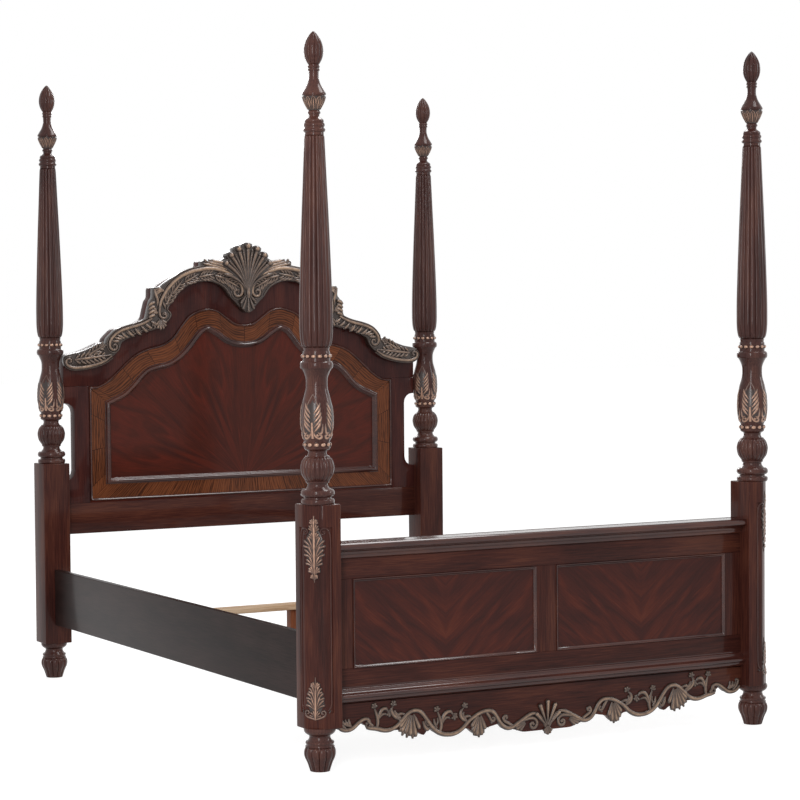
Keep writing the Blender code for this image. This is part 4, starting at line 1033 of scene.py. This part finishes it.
outer, inner = framed(OUTER, OUTER_SILL), framed(INNER, INNER_SILL)
BEAD_GROUND, OGEE_GROUND, BAND_BACK, BAND_FRONT = 1095.4, 1095.2, 1095.4, 1092.6
UNDER_BEAD, UNDER_OGEE = 8.6, 0.4     # where the band meets the bead and the moulding
BEAD = ((0.4, -1), (0.4, 5), (1.6, 8), (4, 9.6), (6.6, 8.6), (8.2, 6), (9.2, 3.2), (9.2, -1))
piece("headboard_outer_bead_moulding", moulded(outer, BEAD, BEAD_GROUND), cherry_moulding,
      ["headboard_outer_bead"], crease=50)
OGEE = ((0.2, -0.2), (0.2, 4.5), (2.2, 5.2), (3, 8.2), (5, 11.5), (8, 14.4), (11, 15.8), (14, 15.2),
        (16.4, 12.6), (17.6, 9.4), (19.2, 8.2), (20.8, 6.6), (22, 3.2), (23.2, 2.4), (23.2, -0.2))
piece("headboard_inner_moulding_frame", moulded(inner, OGEE, OGEE_GROUND), cherry_moulding,
      ["headboard_inner_moulding"], crease=50)

band_outer, band_inner = inward(outer, UNDER_BEAD), inward(inner, -UNDER_OGEE)
band = ringed([(band_outer, BAND_BACK), (band_outer, BAND_FRONT), (band_inner, BAND_FRONT),
               (band_inner, BAND_BACK)])
place = band.verts.layers.int["place"]
band_map, grain_map = band.loops.layers.uv.new("band"), band.loops.layers.uv.new("grain")
middle = [(a + b) / 2 for a, b in zip(outer, inner)]
travelled = [0.0]
for here, after in zip(middle, [*middle[1:], middle[0]]):
    travelled.append(travelled[-1] + (after - here).length)
for f in band.faces:
    wraps = {v[place] for v in f.verts} == {0, len(outer) - 1}
    on_sill = all(v.co.z < (INNER_SILL + 1) * MM for v in f.verts)
    for corner_of in f.loops:
        index = corner_of.vert[place]
        here = Vector((corner_of.vert.co.x, corner_of.vert.co.z)) / MM
        along = travelled[len(outer) if wraps and index == 0 else index] * MM
        across = (here - outer[index]).length * MM
        corner_of[band_map].uv = (along, across)
        corner_of[grain_map].uv = (along, across) if on_sill else (across, along)
piece("headboard_crossband_veneer", band, crossband_veneer, ["headboard_crossband"])
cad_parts["headboard_field_panel"].data.materials[0] = sunburst
print("arched outlines of", len(outer), "points")

# %% [markdown]
# ## The crown
#
# Above the arch the top rail rises in steps to a peak. Its carved crown is a board on the front of the
# rail, with a dark ground on which the scrolls are laid. Heights and depths are in millimetres in the
# bed's own frame, and the headboard's front faces -Y, so a smaller depth lies further forward.

# %% Top rail and the crown's ground
CROWN = ((746, 1160), (751, 1178), (744, 1196), (716, 1204), (684, 1210), (640, 1226), (601, 1243),
         (586, 1240), (580, 1256), (565, 1272), (539, 1293), (502, 1301), (461, 1310), (435, 1322),
         (421, 1332), (416, 1345), (412, 1362), (407, 1380), (402, 1397), (392, 1412), (389, 1446),
         (366, 1447), (339, 1466), (302, 1488), (249, 1510), (196, 1524), (190, 1545), (160, 1547),
         (130, 1543), (100, 1552), (60, 1574), (0, 1586))
BELOW = ((739, 1152), (719, 1144), (668, 1145), (617, 1159), (566, 1186), (545, 1200), (529, 1219),
         (519, 1243), (482, 1261), (441, 1280), (399, 1284), (362, 1298), (331, 1319), (315, 1345),
         (330, 1365), (303, 1403), (271, 1437), (229, 1461), (181, 1468), (143, 1465), (101, 1445),
         (74, 1411), (53, 1391), (30, 1368), (0, 1354))
RAIL_END, RAIL_FOOT = 745, 1080.2
RAIL_FRONT, RAIL_BACK = 1091.7, 1136.7
CROWN_FRONT, CROWN_BACK = 1063, 1091.4


def whole(half):
    """A symmetrical outline from its right half, which runs from the right end to the middle."""
    return [*half, *[(-x, z) for x, z in reversed(half) if x]]


def plate(outline, front, back, edge):
    """A board cut to an outline of (x, z) in mm, between two depths in mm, with its rims rounded over."""
    return prism([(x * MM, back * MM, z * MM) for x, z in outline], (0, (front - back) * MM, 0), edge * MM)


crown_top = [tuple(p) for p in smooth_line(CROWN, 3)]
crown_bottom = [tuple(p) for p in smooth_line(BELOW, 3)]
rail_top = [(min(x, RAIL_END), z - 2) for x, z in crown_top]
arch = [(p.x, p.y) for p in outer if p.x >= 0 and p.y > OUTER[-1][1] - 1]
arch = sorted({(round(x, 3), round(z, 3)) for x, z in arch}, reverse=True)
arch = [(x, max(z, RAIL_FOOT)) for x, z in arch]
rail_outline = [(RAIL_END, RAIL_FOOT), *whole(rail_top), (-RAIL_END, RAIL_FOOT),
                *[(-x, z) for x, z in arch], *[(x, z) for x, z in reversed(arch) if x]]
piece("headboard_arched_top_rail", plate(rail_outline, RAIL_FRONT, RAIL_BACK, edge=1.5), cherry_stile,
      ["headboard_top_rail"])
crown_ground = [*whole(crown_top), *[(-x, z) for x, z in crown_bottom], *reversed(crown_bottom[:-1])]
piece("headboard_crown_board", plate(crown_ground, CROWN_FRONT, CROWN_BACK, edge=2.0), carving)
print("crown's outline has", len(crown_ground), "points")

# %% [markdown]
# ## Scrolls, leaves and the shell of the crown
#
# One half of the crown is drawn and the other is its mirror image. A long C-scroll climbs to the shell
# and rolls up at both ends. A hump and a low scroll follow it down to the post. Each rim is a broad
# ridge with a fine line beside it. A garland of acanthus leaves fills the ground under the long scroll,
# leaf lobes fringe the hump, and one long leaf runs along the low scroll.
#
# The shell over the middle joint has seven ribs that end in round beads, slimmer ribs between them and
# a scalloped ground behind, and it tapers to a stem with berries.

# %% The crown's carving
def rim(path, gap, fine=2.6):
    """A broad ridge and a fine line beside it, to its left for a positive gap."""
    return [path, beside([(x, z, fine) for x, z, _ in path], gap)]


BIG = [(366, 1343, 6), (367, 1362, 7), (362, 1391, 8.5), (348, 1419, 9), (324, 1451, 9.5), (289, 1481, 10),
       (249, 1501, 10), (206, 1512, 10), (153, 1518, 10), (114, 1512, 10), (78, 1499, 9.5), (48, 1480, 9),
       (28, 1456, 8.5), (21, 1434, 8)]
HUMP = [(398, 1330, 6), (425, 1316, 7), (455, 1305, 8), (500, 1294, 8), (535, 1281, 8), (555, 1266, 8),
        (568, 1248, 7.5), (571, 1232, 7)]
LOW = [(562, 1192, 4), (590, 1174, 6.5), (617, 1164, 7.5), (650, 1156, 8), (690, 1151, 8), (722, 1152, 7.5),
       (739, 1160, 7)]
# the long scroll with a volute at each end, the hump and the low scroll
crown = rim(curl(BIG, 22, 1.2, 1), -11.5)
crown.append(curl([(x, z, 6.5) for x, z, _ in reversed(BIG[:3])], 17, 1.15, -1))
crown += rim(curl(HUMP, 19, 1.15, -1), 9.5)
crown += rim(curl(LOW, 16, 1.1, 1), -8.5, 2.2)
# a garland under the long scroll, and a fine line along the board's lower edge
crown += garland(beside(BIG[2:12], 27), (0.02, 0.20, 0.38, 0.56, 0.74, 0.90), 66, 46, 5.4)
crown.append(beside([(x, z, 3.0) for x, z in BELOW[8:-3]], -5))
# two rows of lobes under the hump
crown += fringe(beside(HUMP[0:7], -6), 9, -32, -20, 7.2)
crown += fringe(beside(HUMP[1:6], -9), 8, -22, -16, 4.2)
# leaves along the low scroll, from the post inwards
crown += leaf(712, 1180, -84, 150, 44, 7, 6.0, 0.8)
crown += leaf(660, 1196, -62, 84, 34, 4, 5.2, 0.9)
crown += leaf(606, 1222, -40, 24, 22, 2, 4.6, 0.9)
# fans under the lower volute
crown += fan(362, 1330, (142, 160, 178, 196, 214, 230), (32, 40, 42, 40, 36, 28), 7.0)
crown += fan(390, 1324, (165, 188, 210), (24, 30, 24), 6.0)
# lobes on the shoulder between the hump and the long scroll
crown += [[(388, 1390 - 16 * i, 7), (402 + i, 1386 - 16 * i, 9), (412 - i, 1376 - 15 * i, 6)]
          for i in range(4)]
crown += [[(376, 1350, 5), (388, 1350 + 9 * i, 7), (398, 1346 + 17 * i, 5)] for i in range(3)]
crown += [[(350, 1434, 6), (368, 1430 + 6 * i, 7.5), (384, 1411 + 13 * i, 5)] for i in range(3)]
crown += [[(376, 1378, 5), (375, 1400, 8), (382, 1420, 8), (387, 1441, 5)]]
crown += [[(352, 1392, 4), (346, 1378, 6), (342, 1366, 3.5)]]
# a leaf that sweeps from the shell over the long scroll's top
for lift in range(3):
    crown.append([(44, 1494 + 16 * lift, 5), (76, 1510 + 14 * lift, 7.5),
                  (118 - 6 * lift, 1522 + 9 * lift, 8.5), (162 - 10 * lift, 1532 + 7 * lift, 8),
                  (184 - 16 * lift, 1536 + 6 * lift, 5)])
crown += fringe([(176, 1536, 4), (140, 1530, 4), (100, 1520, 4), (70, 1508, 4)], 6, -20, -12, 6)
crown_beads = [(47, 1434, 7), (551, 1234, 6), (727, 1173, 5.5), (345, 1345, 6), (340, 1384, 6),
               (331, 1396, 6.5), (330, 1410, 5.5), (317, 1414, 6)]

SCROLL_GROUND, SHELL_GROUND = 1062.5 * MM, 1052.5 * MM
SHELL_FRONT, SHELL_BACK = 1053.5, 1091.2
half_crown = strokes_mesh(crown, squash=1.0, gold_height=10, beads=crown_beads)
print("half of the crown:", len(crown), "strokes and", len(crown_beads), "beads")

# %% [markdown]
# The shell is drawn round its hub. Its reach is longest straight up and falls off to both sides, and the
# ribs, their beads and the scallops of the ground all take their length from it.

# %% The crest's shell
SHELL_HUB = (0, 1424)
SHELL_REACH, SHELL_FALL = 192, 38
SPREAD, GAP_TURN = 42, 13
SCALLOP_DEPTH = 7
rib_turns = [GAP_TURN * i for i in range(-3, 4)]


def shell_reach(turn):
    """Length of the crest's shell in mm at an angle from straight up."""
    return SHELL_REACH - SHELL_FALL * (abs(turn) / SPREAD) ** 1.4


def on_shell(turn, reach):
    """The place in mm at an angle from straight up and a distance from the shell's hub."""
    return (SHELL_HUB[0] + math.sin(math.radians(turn)) * reach,
            SHELL_HUB[1] + math.cos(math.radians(turn)) * reach)


shell_ribs = fan(*SHELL_HUB, rib_turns, [shell_reach(t) - 20 for t in rib_turns], 8.6, 0.5, start=0.05)
shell_ribs += fan(*SHELL_HUB, (-53, 53), (118, 118), 7.5, 0.5, start=0.05)
between = [t + GAP_TURN / 2 for t in rib_turns[:-1]]
shell_ribs += fan(*SHELL_HUB, between, [shell_reach(t) * 0.84 for t in between], 5.6, 0.5, start=0.2)
shell_beads = [(*on_shell(t, shell_reach(t) - 12), 14 - abs(t) / 30) for t in rib_turns]
shell_beads += [(*on_shell(t, shell_reach(t) * 0.86), 5.5) for t in between]
shell_ribs += fan(*SHELL_HUB, (140, 160, 180, 200, 220), (46, 62, 70, 62, 46), 6.5)
shell_beads += [(30, 1386, 6), (22, 1365, 6.5), (0, 1354, 7), (-22, 1365, 6.5), (-30, 1386, 6)]
shell_ribs.append([(0, 1444, 8), (0, 1425, 10), (0, 1405, 8)])
shell = strokes_mesh(shell_ribs, squash=0.9, gold_height=14, beads=shell_beads)
for side, hand in (("left", -1), ("right", 1)):
    piece(f"headboard_crown_scrolls_{side}", on_board(half_crown, SCROLL_GROUND, hand),
          carving, [f"headboard_crown_carving_{side}"], crease=60)
piece("headboard_crest_shell_ribs", on_board(shell, SHELL_GROUND), carving,
      ["headboard_crest_shell"], crease=60)
scallops = []
for turn in rib_turns:
    for part in range(-4, 5):
        reach = shell_reach(turn) + 1.5 - SCALLOP_DEPTH * (part / 4) ** 2
        scallops.append(on_shell(turn + part / 4 * GAP_TURN / 2 * 0.96, reach))
stem = [(54, 1484), (20, 1446), (14, 1408), (32, 1386), (27, 1362), (9, 1349)]
shell_outline = [*[(-x, z) for x, z in reversed(stem)], *scallops, *stem]
piece("headboard_crest_shell_ground", plate(shell_outline, SHELL_FRONT, SHELL_BACK, edge=2), carving)
print("crown carving:", len(half_crown.faces) * 2 + len(shell.faces), "faces")

# %% [markdown]
# ## The footboard
#
# A frame of rails and stiles holds two panels. A wide cap with a rounded nosing runs along its top, a
# base moulding along its bottom, and a bead frames each panel. The cap and the base moulding are drawn
# as end sections and drawn out from post to post.

# %% Cap, base moulding, panels and beads
RUN_END = 748
FOOT_PANEL_FACE = -1087.1


def straight_moulding(section, low_x, high_x):
    """Draw a section of (y, z) in mm out along X; points given twice stay crisp."""
    outline = [p.to_2d() for p in smooth_line(section, 3)]
    kept = [p for i, p in enumerate(outline) if (p - outline[i - 1]).length > 0.05]
    return prism([(low_x * MM, p.x * MM, p.y * MM) for p in kept], ((high_x - low_x) * MM, 0, 0))


CAP = ((-1051.4, 629.8), (-1051.4, 629.8), (-1051.4, 676), (-1051.4, 676), (-1054, 678.4), (-1054, 678.4),
       (-1118, 678.4), (-1118, 678.4), (-1124, 677), (-1128.4, 672), (-1129.4, 666), (-1128, 660.5),
       (-1123.5, 657.4), (-1123.5, 657.4), (-1117.5, 657), (-1117.5, 657), (-1116, 655), (-1113, 653.5),
       (-1113, 653.5), (-1108.5, 652.5), (-1104.5, 648.5), (-1103, 643), (-1103, 643), (-1100, 642.5),
       (-1100, 642.5), (-1100.6, 639), (-1100, 634), (-1096.5, 630.4), (-1096.5, 630.4), (-1093.4, 629.8),
       (-1093.4, 629.8))
BASE = ((-1093.2, 195.4), (-1093.2, 195.4), (-1093.2, 239.6), (-1093.2, 239.6), (-1096, 239.8),
        (-1099.5, 238), (-1101, 234.6), (-1101, 234.6), (-1104, 234), (-1104, 234), (-1107, 229),
        (-1112, 225), (-1117, 223.4), (-1117, 223.4), (-1120.6, 221), (-1120.8, 215), (-1118, 211.6),
        (-1118, 211.6), (-1112, 210.4), (-1112, 210.4), (-1112.5, 206), (-1110, 201), (-1104, 198),
        (-1100, 195.6), (-1100, 195.6))
piece("footboard_cap_moulding", straight_moulding(CAP, -RUN_END, RUN_END), cherry_moulding,
      ["footboard_cap_rail"], crease=40)
piece("footboard_base_moulding_run", straight_moulding(BASE, -RUN_END, RUN_END), cherry_moulding,
      ["footboard_base_moulding"], crease=40)
PANEL_BEAD = ((0.2, -0.2), (0.2, 7.6), (1.2, 8.8), (2.6, 8.8), (3.8, 7.4), (7.6, 3.0), (9.0, 2.2),
              (9.4, -0.2))
for side, hand in (("left", -1), ("right", 1)):
    low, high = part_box(f"footboard_{side}_panel_bead")
    centre = Vector(((low.x + high.x) / 2, (low.z + high.z) / 2)) / MM
    wide, tall = (high.x - low.x) / 2 / MM, (high.z - low.z) / 2 / MM
    corners = [(-wide, tall), (wide, tall), (wide, -tall), (-wide, -tall)]
    loop = [centre + Vector(a).lerp(Vector(b), t / 8) for a, b in zip(corners, corners[1:] + corners[:1])
            for t in range(8)]
    piece(f"footboard_{side}_panel_bead_frame", moulded(loop, PANEL_BEAD, FOOT_PANEL_FACE),
          cherry_moulding, [f"footboard_{side}_panel_bead"], crease=50)
    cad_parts[f"footboard_{side}_panel"].data.materials[0] = v_match
print("footboard mouldings made")

# %% [markdown]
# ## The apron
#
# The apron is sawn to a lively edge and carved with one long running stroke: it rises to a hump, sinks
# to a trough and rises again on its way from the post to the shell. Fans hang under the humps, sprigs
# that end in small fans stand in the hollows, and volutes finish the stroke at both ends. A beaded shell
# covers the joint of the two halves.

# %% Apron and its carving
APRON = ((748, 124), (738, 118), (714, 113), (689, 113), (663, 132), (640, 120), (608, 108), (559, 99),
         (530, 98), (508, 90), (492, 83), (465, 86), (442, 75), (423, 98), (405, 82), (386, 71), (359, 64),
         (332, 67), (308, 80), (285, 80), (264, 64), (246, 57), (225, 75), (195, 82), (173, 84), (154, 67),
         (132, 65), (110, 60), (90, 53), (60, 52), (0, 52))
APRON_TOP, APRON_FRONT, APRON_BACK = 217.8, -1092.8, -1066.8
apron_edge = [tuple(p) for p in smooth_line(APRON, 3)]
apron_outline = [(RUN_END, APRON_TOP), *whole(apron_edge), (-RUN_END, APRON_TOP)]
piece("footboard_scalloped_apron", plate(apron_outline, APRON_FRONT, APRON_BACK, edge=1.5), cherry_level,
      ["footboard_apron"])

MAIN = [(740, 130, 4.5), (726, 118, 6), (706, 114, 6.8), (689, 118, 6.8), (668, 133, 6.5), (650, 142, 6),
        (636, 140, 5), (629, 130, 4)]
RUN = [(640, 116, 5), (628, 113, 6), (608, 110, 6.8), (582, 103, 7), (559, 103, 7), (536, 113, 6.6),
       (516, 131, 6.5), (496, 148, 6.5), (476, 154, 6.8), (456, 148, 6.8), (439, 130, 6.6), (423, 108, 6.8),
       (406, 89, 7), (386, 76, 7), (359, 70, 7), (332, 72, 7), (308, 84, 6.8), (288, 102, 6.6),
       (270, 114, 6.5), (249, 125, 6.5), (215, 131, 6.8), (198, 125, 6.6), (184, 108, 6.4), (173, 90, 6.6),
       (154, 73, 6.8), (132, 71, 6.8), (117, 78, 6.5), (88, 94, 6.2), (65, 105, 6), (50, 108, 5.6),
       (31, 101, 5), (17, 83, 4.4), (7, 62, 3.6)]
# the running stroke, and the sprig by the post
apron = [curl(MAIN, 11, 0.9, 1, 0.7), RUN]
apron += [curl([(712, 118, 4.5), (724, 130, 5), (734, 143, 5)], 8, 0.7, 1)]
apron += [[(694, 124, 4), (700 + 9 * i, 134, 5.5), (702 + 12 * i, 147 - i, 3)] for i in range(3)]
# the sprigs in the first hollow
apron += [[(606, 112, 5), (603, 130, 6), (606, 150, 5.5), (613, 170, 3)],
          [(604, 132, 4), (597, 152, 6), (588, 166, 6.5), (576, 168, 6), (568, 160, 3)],
          [(600, 138, 3.5), (590, 150, 5), (578, 152, 4), (572, 148, 2)],
          [(620, 118, 5), (634, 132, 5), (640, 144, 3)]]
apron += [[(520, 128, 4), (540, 138, 6), (552, 150, 6.5), (556, 164, 5), (550, 172, 2.5)],
          [(524, 134, 4), (542, 150, 6), (546, 160, 4)], [(506, 142, 3), (526, 148, 5.5), (536, 142, 4)]]
# the fan under the first hump, with finer ribs between its own
apron += fan(484, 156, (128, 138, 149, 161, 174, 188, 203), (56, 64, 72, 72, 76, 80, 62), 7.4, start=0.22)
apron += fan(484, 156, (133, 144, 155, 167, 181), (64, 74, 80, 82, 84), 4.6, start=0.4)
apron += [[(446, 118, 4), (440, 100, 6), (430, 92, 6), (424, 98, 3)],
          [(424, 108, 4), (414, 96, 5), (404, 88, 4)]]
# the sprigs in the second hollow
apron += [[(388, 80, 5), (383, 98, 6), (386, 118, 5.5), (395, 142, 3)],
          [(384, 98, 4), (378, 120, 6), (368, 136, 6.5), (352, 140, 6), (341, 130, 3)],
          [(380, 104, 3.5), (370, 120, 5), (358, 122, 4), (350, 117, 2)],
          [(398, 92, 4), (406, 108, 5), (408, 122, 3)], [(400, 100, 3), (394, 112, 4), (396, 124, 2.5)]]
apron += [[(290, 104, 4), (306, 112, 6), (314, 124, 6.5), (312, 138, 5), (303, 146, 2.5)],
          [(296, 110, 4), (306, 126, 5), (302, 134, 3)], [(276, 116, 3), (292, 120, 5.5), (300, 116, 4)]]
# the fan under the second hump
apron += fan(246, 130, (146, 158, 171, 185, 199), (52, 64, 72, 70, 56), 7.4, start=0.22)
apron += fan(246, 130, (152, 164, 178, 192), (60, 72, 76, 66), 4.4, start=0.4)
# volutes on the way down to the shell
apron.append(curl([(222, 126, 5), (212, 112, 5.5), (205, 100, 5)], 9, 0.9, -1, 0.7))
apron.append(curl([(126, 74, 5), (142, 84, 5.5), (158, 94, 5.5)], 10, 1.0, 1, 0.7))
apron.append(curl([(96, 88, 4.5), (78, 92, 5.5), (56, 94, 5.5)], 20, 1.15, 1, 0.7))
apron += fan(74, 84, (92, 104, 117, 131), (40, 46, 44, 36), 6.0, start=0.2)
apron_beads = [(641, 128, 5), (152, 105, 5), (52, 74, 6), (203, 92, 4)]
# a small fan at the tip of each sprig
for across, up, towards in ((613, 170, 10), (568, 160, -150), (395, 142, 20), (341, 130, -150),
                            (550, 172, -10), (303, 146, -30), (440, 108, -70)):
    apron += fan(across, up, (towards - 52, towards - 17, towards + 17, towards + 52), (13, 18, 18, 13),
                 4.4, 0.4)
BOLDNESS = 1.16
APRON_SCROLL_GROUND, APRON_SHELL_GROUND = -1093.4 * MM, -1095.5 * MM
bold = [[(across, up, half * BOLDNESS) for across, up, half in stroke] for stroke in apron]
half_apron = strokes_mesh(bold, squash=0.9, gold_height=10.5, beads=apron_beads)
turns, reaches = (-44, -22, 0, 22, 44), (58, 72, 78, 72, 58)
apron_shell = fan(0, 62, turns, reaches, 7.4, start=0.08)
apron_shell += fan(0, 66, (140, 160, 180, 200, 220), (22, 26, 28, 26, 22), 5.6, start=0.1)
shell_tips = [(math.sin(math.radians(t)) * r, 62 + math.cos(math.radians(t)) * r, 8.4)
              for t, r in zip(turns, reaches)]
middle_shell = strokes_mesh(apron_shell, squash=1.0, gold_height=8.5, beads=shell_tips)
for side, hand in (("left", -1), ("right", 1)):
    piece(f"footboard_apron_running_scroll_{side}", on_board(half_apron, APRON_SCROLL_GROUND, hand),
          carving, [f"footboard_apron_scroll_{side}"], crease=60)
piece("footboard_apron_shell_ribs", on_board(middle_shell, APRON_SHELL_GROUND), carving,
      ["footboard_apron_shell"], crease=60)
print("apron carving:", len(half_apron.faces) * 2 + len(middle_shell.faces), "faces")

# %% [markdown]
# ## Leaves on the corners of the foot posts
#
# A pendant leaf hangs from the top of each corner and a small one stands at its bottom, both in clusters
# of lobes on either side of a midrib, over a thin dark body. Between them a fine line follows the sunk
# field and rolls up beside the upper leaf. The gold is rubbed on most strongly at the midrib. The leaves
# reach past the ends of the sunk field, so there their middles are lifted onto the block's own face.

# %% Corner leaves and lines
def sprays(stations, angles, half):
    """Acanthus lobes in clusters up a midrib; a station is (height, length of its longest lobe)."""
    ribs = []
    for height, length in stations:
        for hand in (-1, 1):
            lengths = (length, length * 0.96, length * 0.78)
            ribs += fan(hand * 1.5, height, [hand * angle for angle in angles],
                        lengths, half, 0.45, start=0.1)
    return ribs


field_line = []
for hand in (-1, 1):
    side_line = [(hand * 43, 186, 2.9), (hand * 51, 198, 2.9), (hand * 53, 224, 2.9), (hand * 53, 330, 2.9),
                 (hand * 53, 460, 2.9), (hand * 53, 590, 2.9), (hand * 53, 690, 2.9), (hand * 49, 716, 2.9),
                 (hand * 40, 727, 3.2), (hand * 30, 728, 3.4)]
    field_line.append(curl(side_line, 11, 1.25, hand, 0.7))
drop_leaf = [[(0, 567, 1.8), (0, 620, 4.6), (0, 690, 5.6), (0, 735, 4.6), (0, 765, 2.6)]]
drop_leaf += sprays(((576, 16), (590, 26), (608, 37), (630, 46), (654, 50)), (20, 38, 56), 5.0)
drop_leaf += sprays(((688, 28), (712, 28), (734, 22)), (12, 27, 44), 4.2)
base_leaf = [[(0, 158, 4.0), (0, 200, 5.2), (0, 245, 3.8), (0, 285, 1.8)]]
base_leaf += sprays(((184, 42), (206, 40), (228, 31), (250, 21)), (16, 36, 56), 4.8)
base_leaf += sprays(((162, 24),), (14, 34, 62), 3.8)
for hand in (-1, 1):
    base_leaf.append(curl([(hand * 2, 160, 3.0), (hand * 14, 164, 4.4), (hand * 28, 170, 3.8)],
                          10, 1.1, hand, 0.7))
    base_leaf.append([(hand * 30, 170, 2.4), (hand * 40, 174, 2.6), (hand * 50, 186, 1.8)])
LEAF_BODIES = {
    "drop_leaf": [[(0, 574, 3), (0, 610, 14), (0, 650, 26), (0, 690, 29), (0, 722, 14), (0, 750, 10)]],
    "base_leaf": [[(0, 160, 14), (0, 184, 17), (0, 210, 28), (0, 240, 19), (0, 272, 6)]]}


def fade_aside(bm, reach, least):
    """Rub the gold less and less away from the middle line, down to a least share at reach."""
    gilt_and_crest_highlight = bm.verts.layers.float["gilt_and_crest_highlight"]
    for vert in bm.verts:
        vert[gilt_and_crest_highlight] *= 1 - (1 - least) * min(abs(vert.co.x) / (reach * MM), 1)
    return bm


LEAF_SINK, LINE_SINK = 3.1, 2.9       # mm below the block's face
LIFT, LIFT_RUN = 2.4, 6               # how far a leaf is lifted, and over what length
LIFT_WHOLE, LIFT_FADE = 24, 12        # half width that is lifted whole, and the width it fades over
for corner in ("foot_left", "foot_right"):
    for label, ribs, material, depth, stands_for in (
            ("drop_leaf", drop_leaf, copper_leaf, LEAF_SINK, [corner + "_drop_leaf"]),
            ("base_leaf", base_leaf, copper_leaf, LEAF_SINK, [corner + "_base_leaf"]),
            ("field_line", field_line, cherry_turned_painted_sheen, LINE_SINK, [])):
        carved = fade_aside(strokes_mesh(ribs, squash=0.9, gold_height=5.0), reach=36, least=0.55)
        if label in LEAF_BODIES:
            carved = joined(carved, strokes_mesh(LEAF_BODIES[label], squash=0.08, gold_height=GROUND))
        for vert in carved.verts:
            beyond = max(FIELD_LOW - vert.co.y / MM, vert.co.y / MM - FIELD_HIGH) / LIFT_RUN + 1
            aside = (abs(vert.co.x) / MM - LIFT_WHOLE) / LIFT_FADE
            raised = min(max(beyond, 0), 1) * (1 - min(max(aside, 0), 1))
            vert.co.z -= (depth - LIFT * raised) * MM
        piece(f"{corner}_carved_{label}", at_corner(round_corner(carved), corner, -45), material,
              stands_for, crease=60)
        carved.free()
print("corner leaves made")

# %% [markdown]
# ## Floor and light
#
# A pale floor runs out of sight into a white studio. To the eye, and in mirrors, floor and room are
# white, but the light that they throw on the wood is weaker: Light Path tells the rays apart. Only the
# bed's soft shadow darkens the floor. The room's own light comes mostly from the upper left, so a
# direction's dot product with that side sets its strength.
#
# A tall lamp stands at the left front, a weaker one at the right and one behind the headboard. A long
# strip overhead is only seen mirrored in the lacquer, where it draws a pale line along upper edges.

# %% Floor and world
FLOOR_REACH = 30
FLOOR_GLOW = 0.80            # what the eye sees of the floor beyond its lit grey
ROOM_SIDE = (-0.75, -0.35, 0.55)
ROOM_RANGE = {"From Min": -0.7, "From Max": 0.9, "To Min": 0.32, "To Max": 0.70}


def seen_rays(owner):
    """1 for rays that show a background: from the camera, mirrored or through glass."""
    kinds = add_node(owner, "LightPath").outputs
    seen = kinds["Is Camera Ray"]
    for kind in ("Is Glossy Ray", "Is Transmission Ray"):
        seen = add_node(owner, "Math", {0: seen, 1: kinds[kind]}, operation="MAXIMUM").outputs["Value"]
    return seen


floor_bm = bmesh.new()
bmesh.ops.create_grid(floor_bm, x_segments=2, y_segments=2, size=FLOOR_REACH)
floor_mesh = bpy.data.meshes.new("floor")
floor_bm.to_mesh(floor_mesh)
floor_bm.free()
floor = bpy.data.objects.new("floor", floor_mesh)
bpy.context.scene.collection.objects.link(floor)
paper, paper_shader = new_material("white_studio_floor")
paper_shader.inputs["Base Color"].default_value = linear("#9E9E9E")
paper_shader.inputs["Roughness"].default_value = 0.9
paper_shader.inputs["Emission Color"].default_value = (1, 1, 1, 1)
lift = add_node(paper, "Math", {0: seen_rays(paper), 1: FLOOR_GLOW}, operation="MULTIPLY").outputs["Value"]
paper.node_tree.links.new(lift, paper_shader.inputs["Emission Strength"])
floor_mesh.materials.append(paper)

world = bpy.data.worlds.new("studio")
bpy.context.scene.world = world
world.use_nodes = True
background = world.node_tree.nodes["Background"]
background.inputs["Color"].default_value = (1, 1, 1, 1)
toward = add_node(world, "VectorMath", {
    0: add_node(world, "TexCoord").outputs["Generated"], 1: Vector(ROOM_SIDE).normalized()},
    operation="DOT_PRODUCT").outputs["Value"]
room = add_node(world, "MapRange", {"Value": toward, **ROOM_RANGE}).outputs["Result"]
strength = add_node(world, "Math", {0: room, 1: seen_rays(world)}, operation="MAXIMUM").outputs["Value"]
world.node_tree.links.new(strength, background.inputs["Strength"])
print("floor reaches", FLOOR_REACH, "m; the room is brightest toward", ROOM_SIDE)


# %% Lamps
def lamp(name, place, target, size, watts, only_mirrored=False):
    """A soft area lamp that looks at a point; it can be one that is only seen mirrored in the lacquer."""
    light = bpy.data.lights.new(name, "AREA")
    light.shape = "RECTANGLE"
    light.size, light.size_y = size
    light.energy = watts
    made = bpy.data.objects.new(name, light)
    aim = (Vector(target) - Vector(place)).to_track_quat("-Z", "Y")
    made.matrix_world = Matrix.Translation(place) @ aim.to_matrix().to_4x4()
    made.visible_diffuse = not only_mirrored
    made.visible_camera = False
    bpy.context.scene.collection.objects.link(made)


lamp("key_left_front", (-3.6, -4.8, 2.6), (0, 0, 1.0), (1.0, 3.6), 120)
lamp("fill_right", (4.6, -2.4, 2.6), (0, 0, 0.8), (0.9, 1.8), 38)
lamp("fill_behind", (1.6, 5.2, 3.0), (0, 0.4, 0.8), (2.2, 1.6), 90)
lamp("top_strip", (1.4, 0.2, 4.4), (0.6, 0.2, 0), (5.2, 1.2), 190, only_mirrored=True)
bpy.context.scene.view_settings.view_transform = "Standard"
print("stage is set")
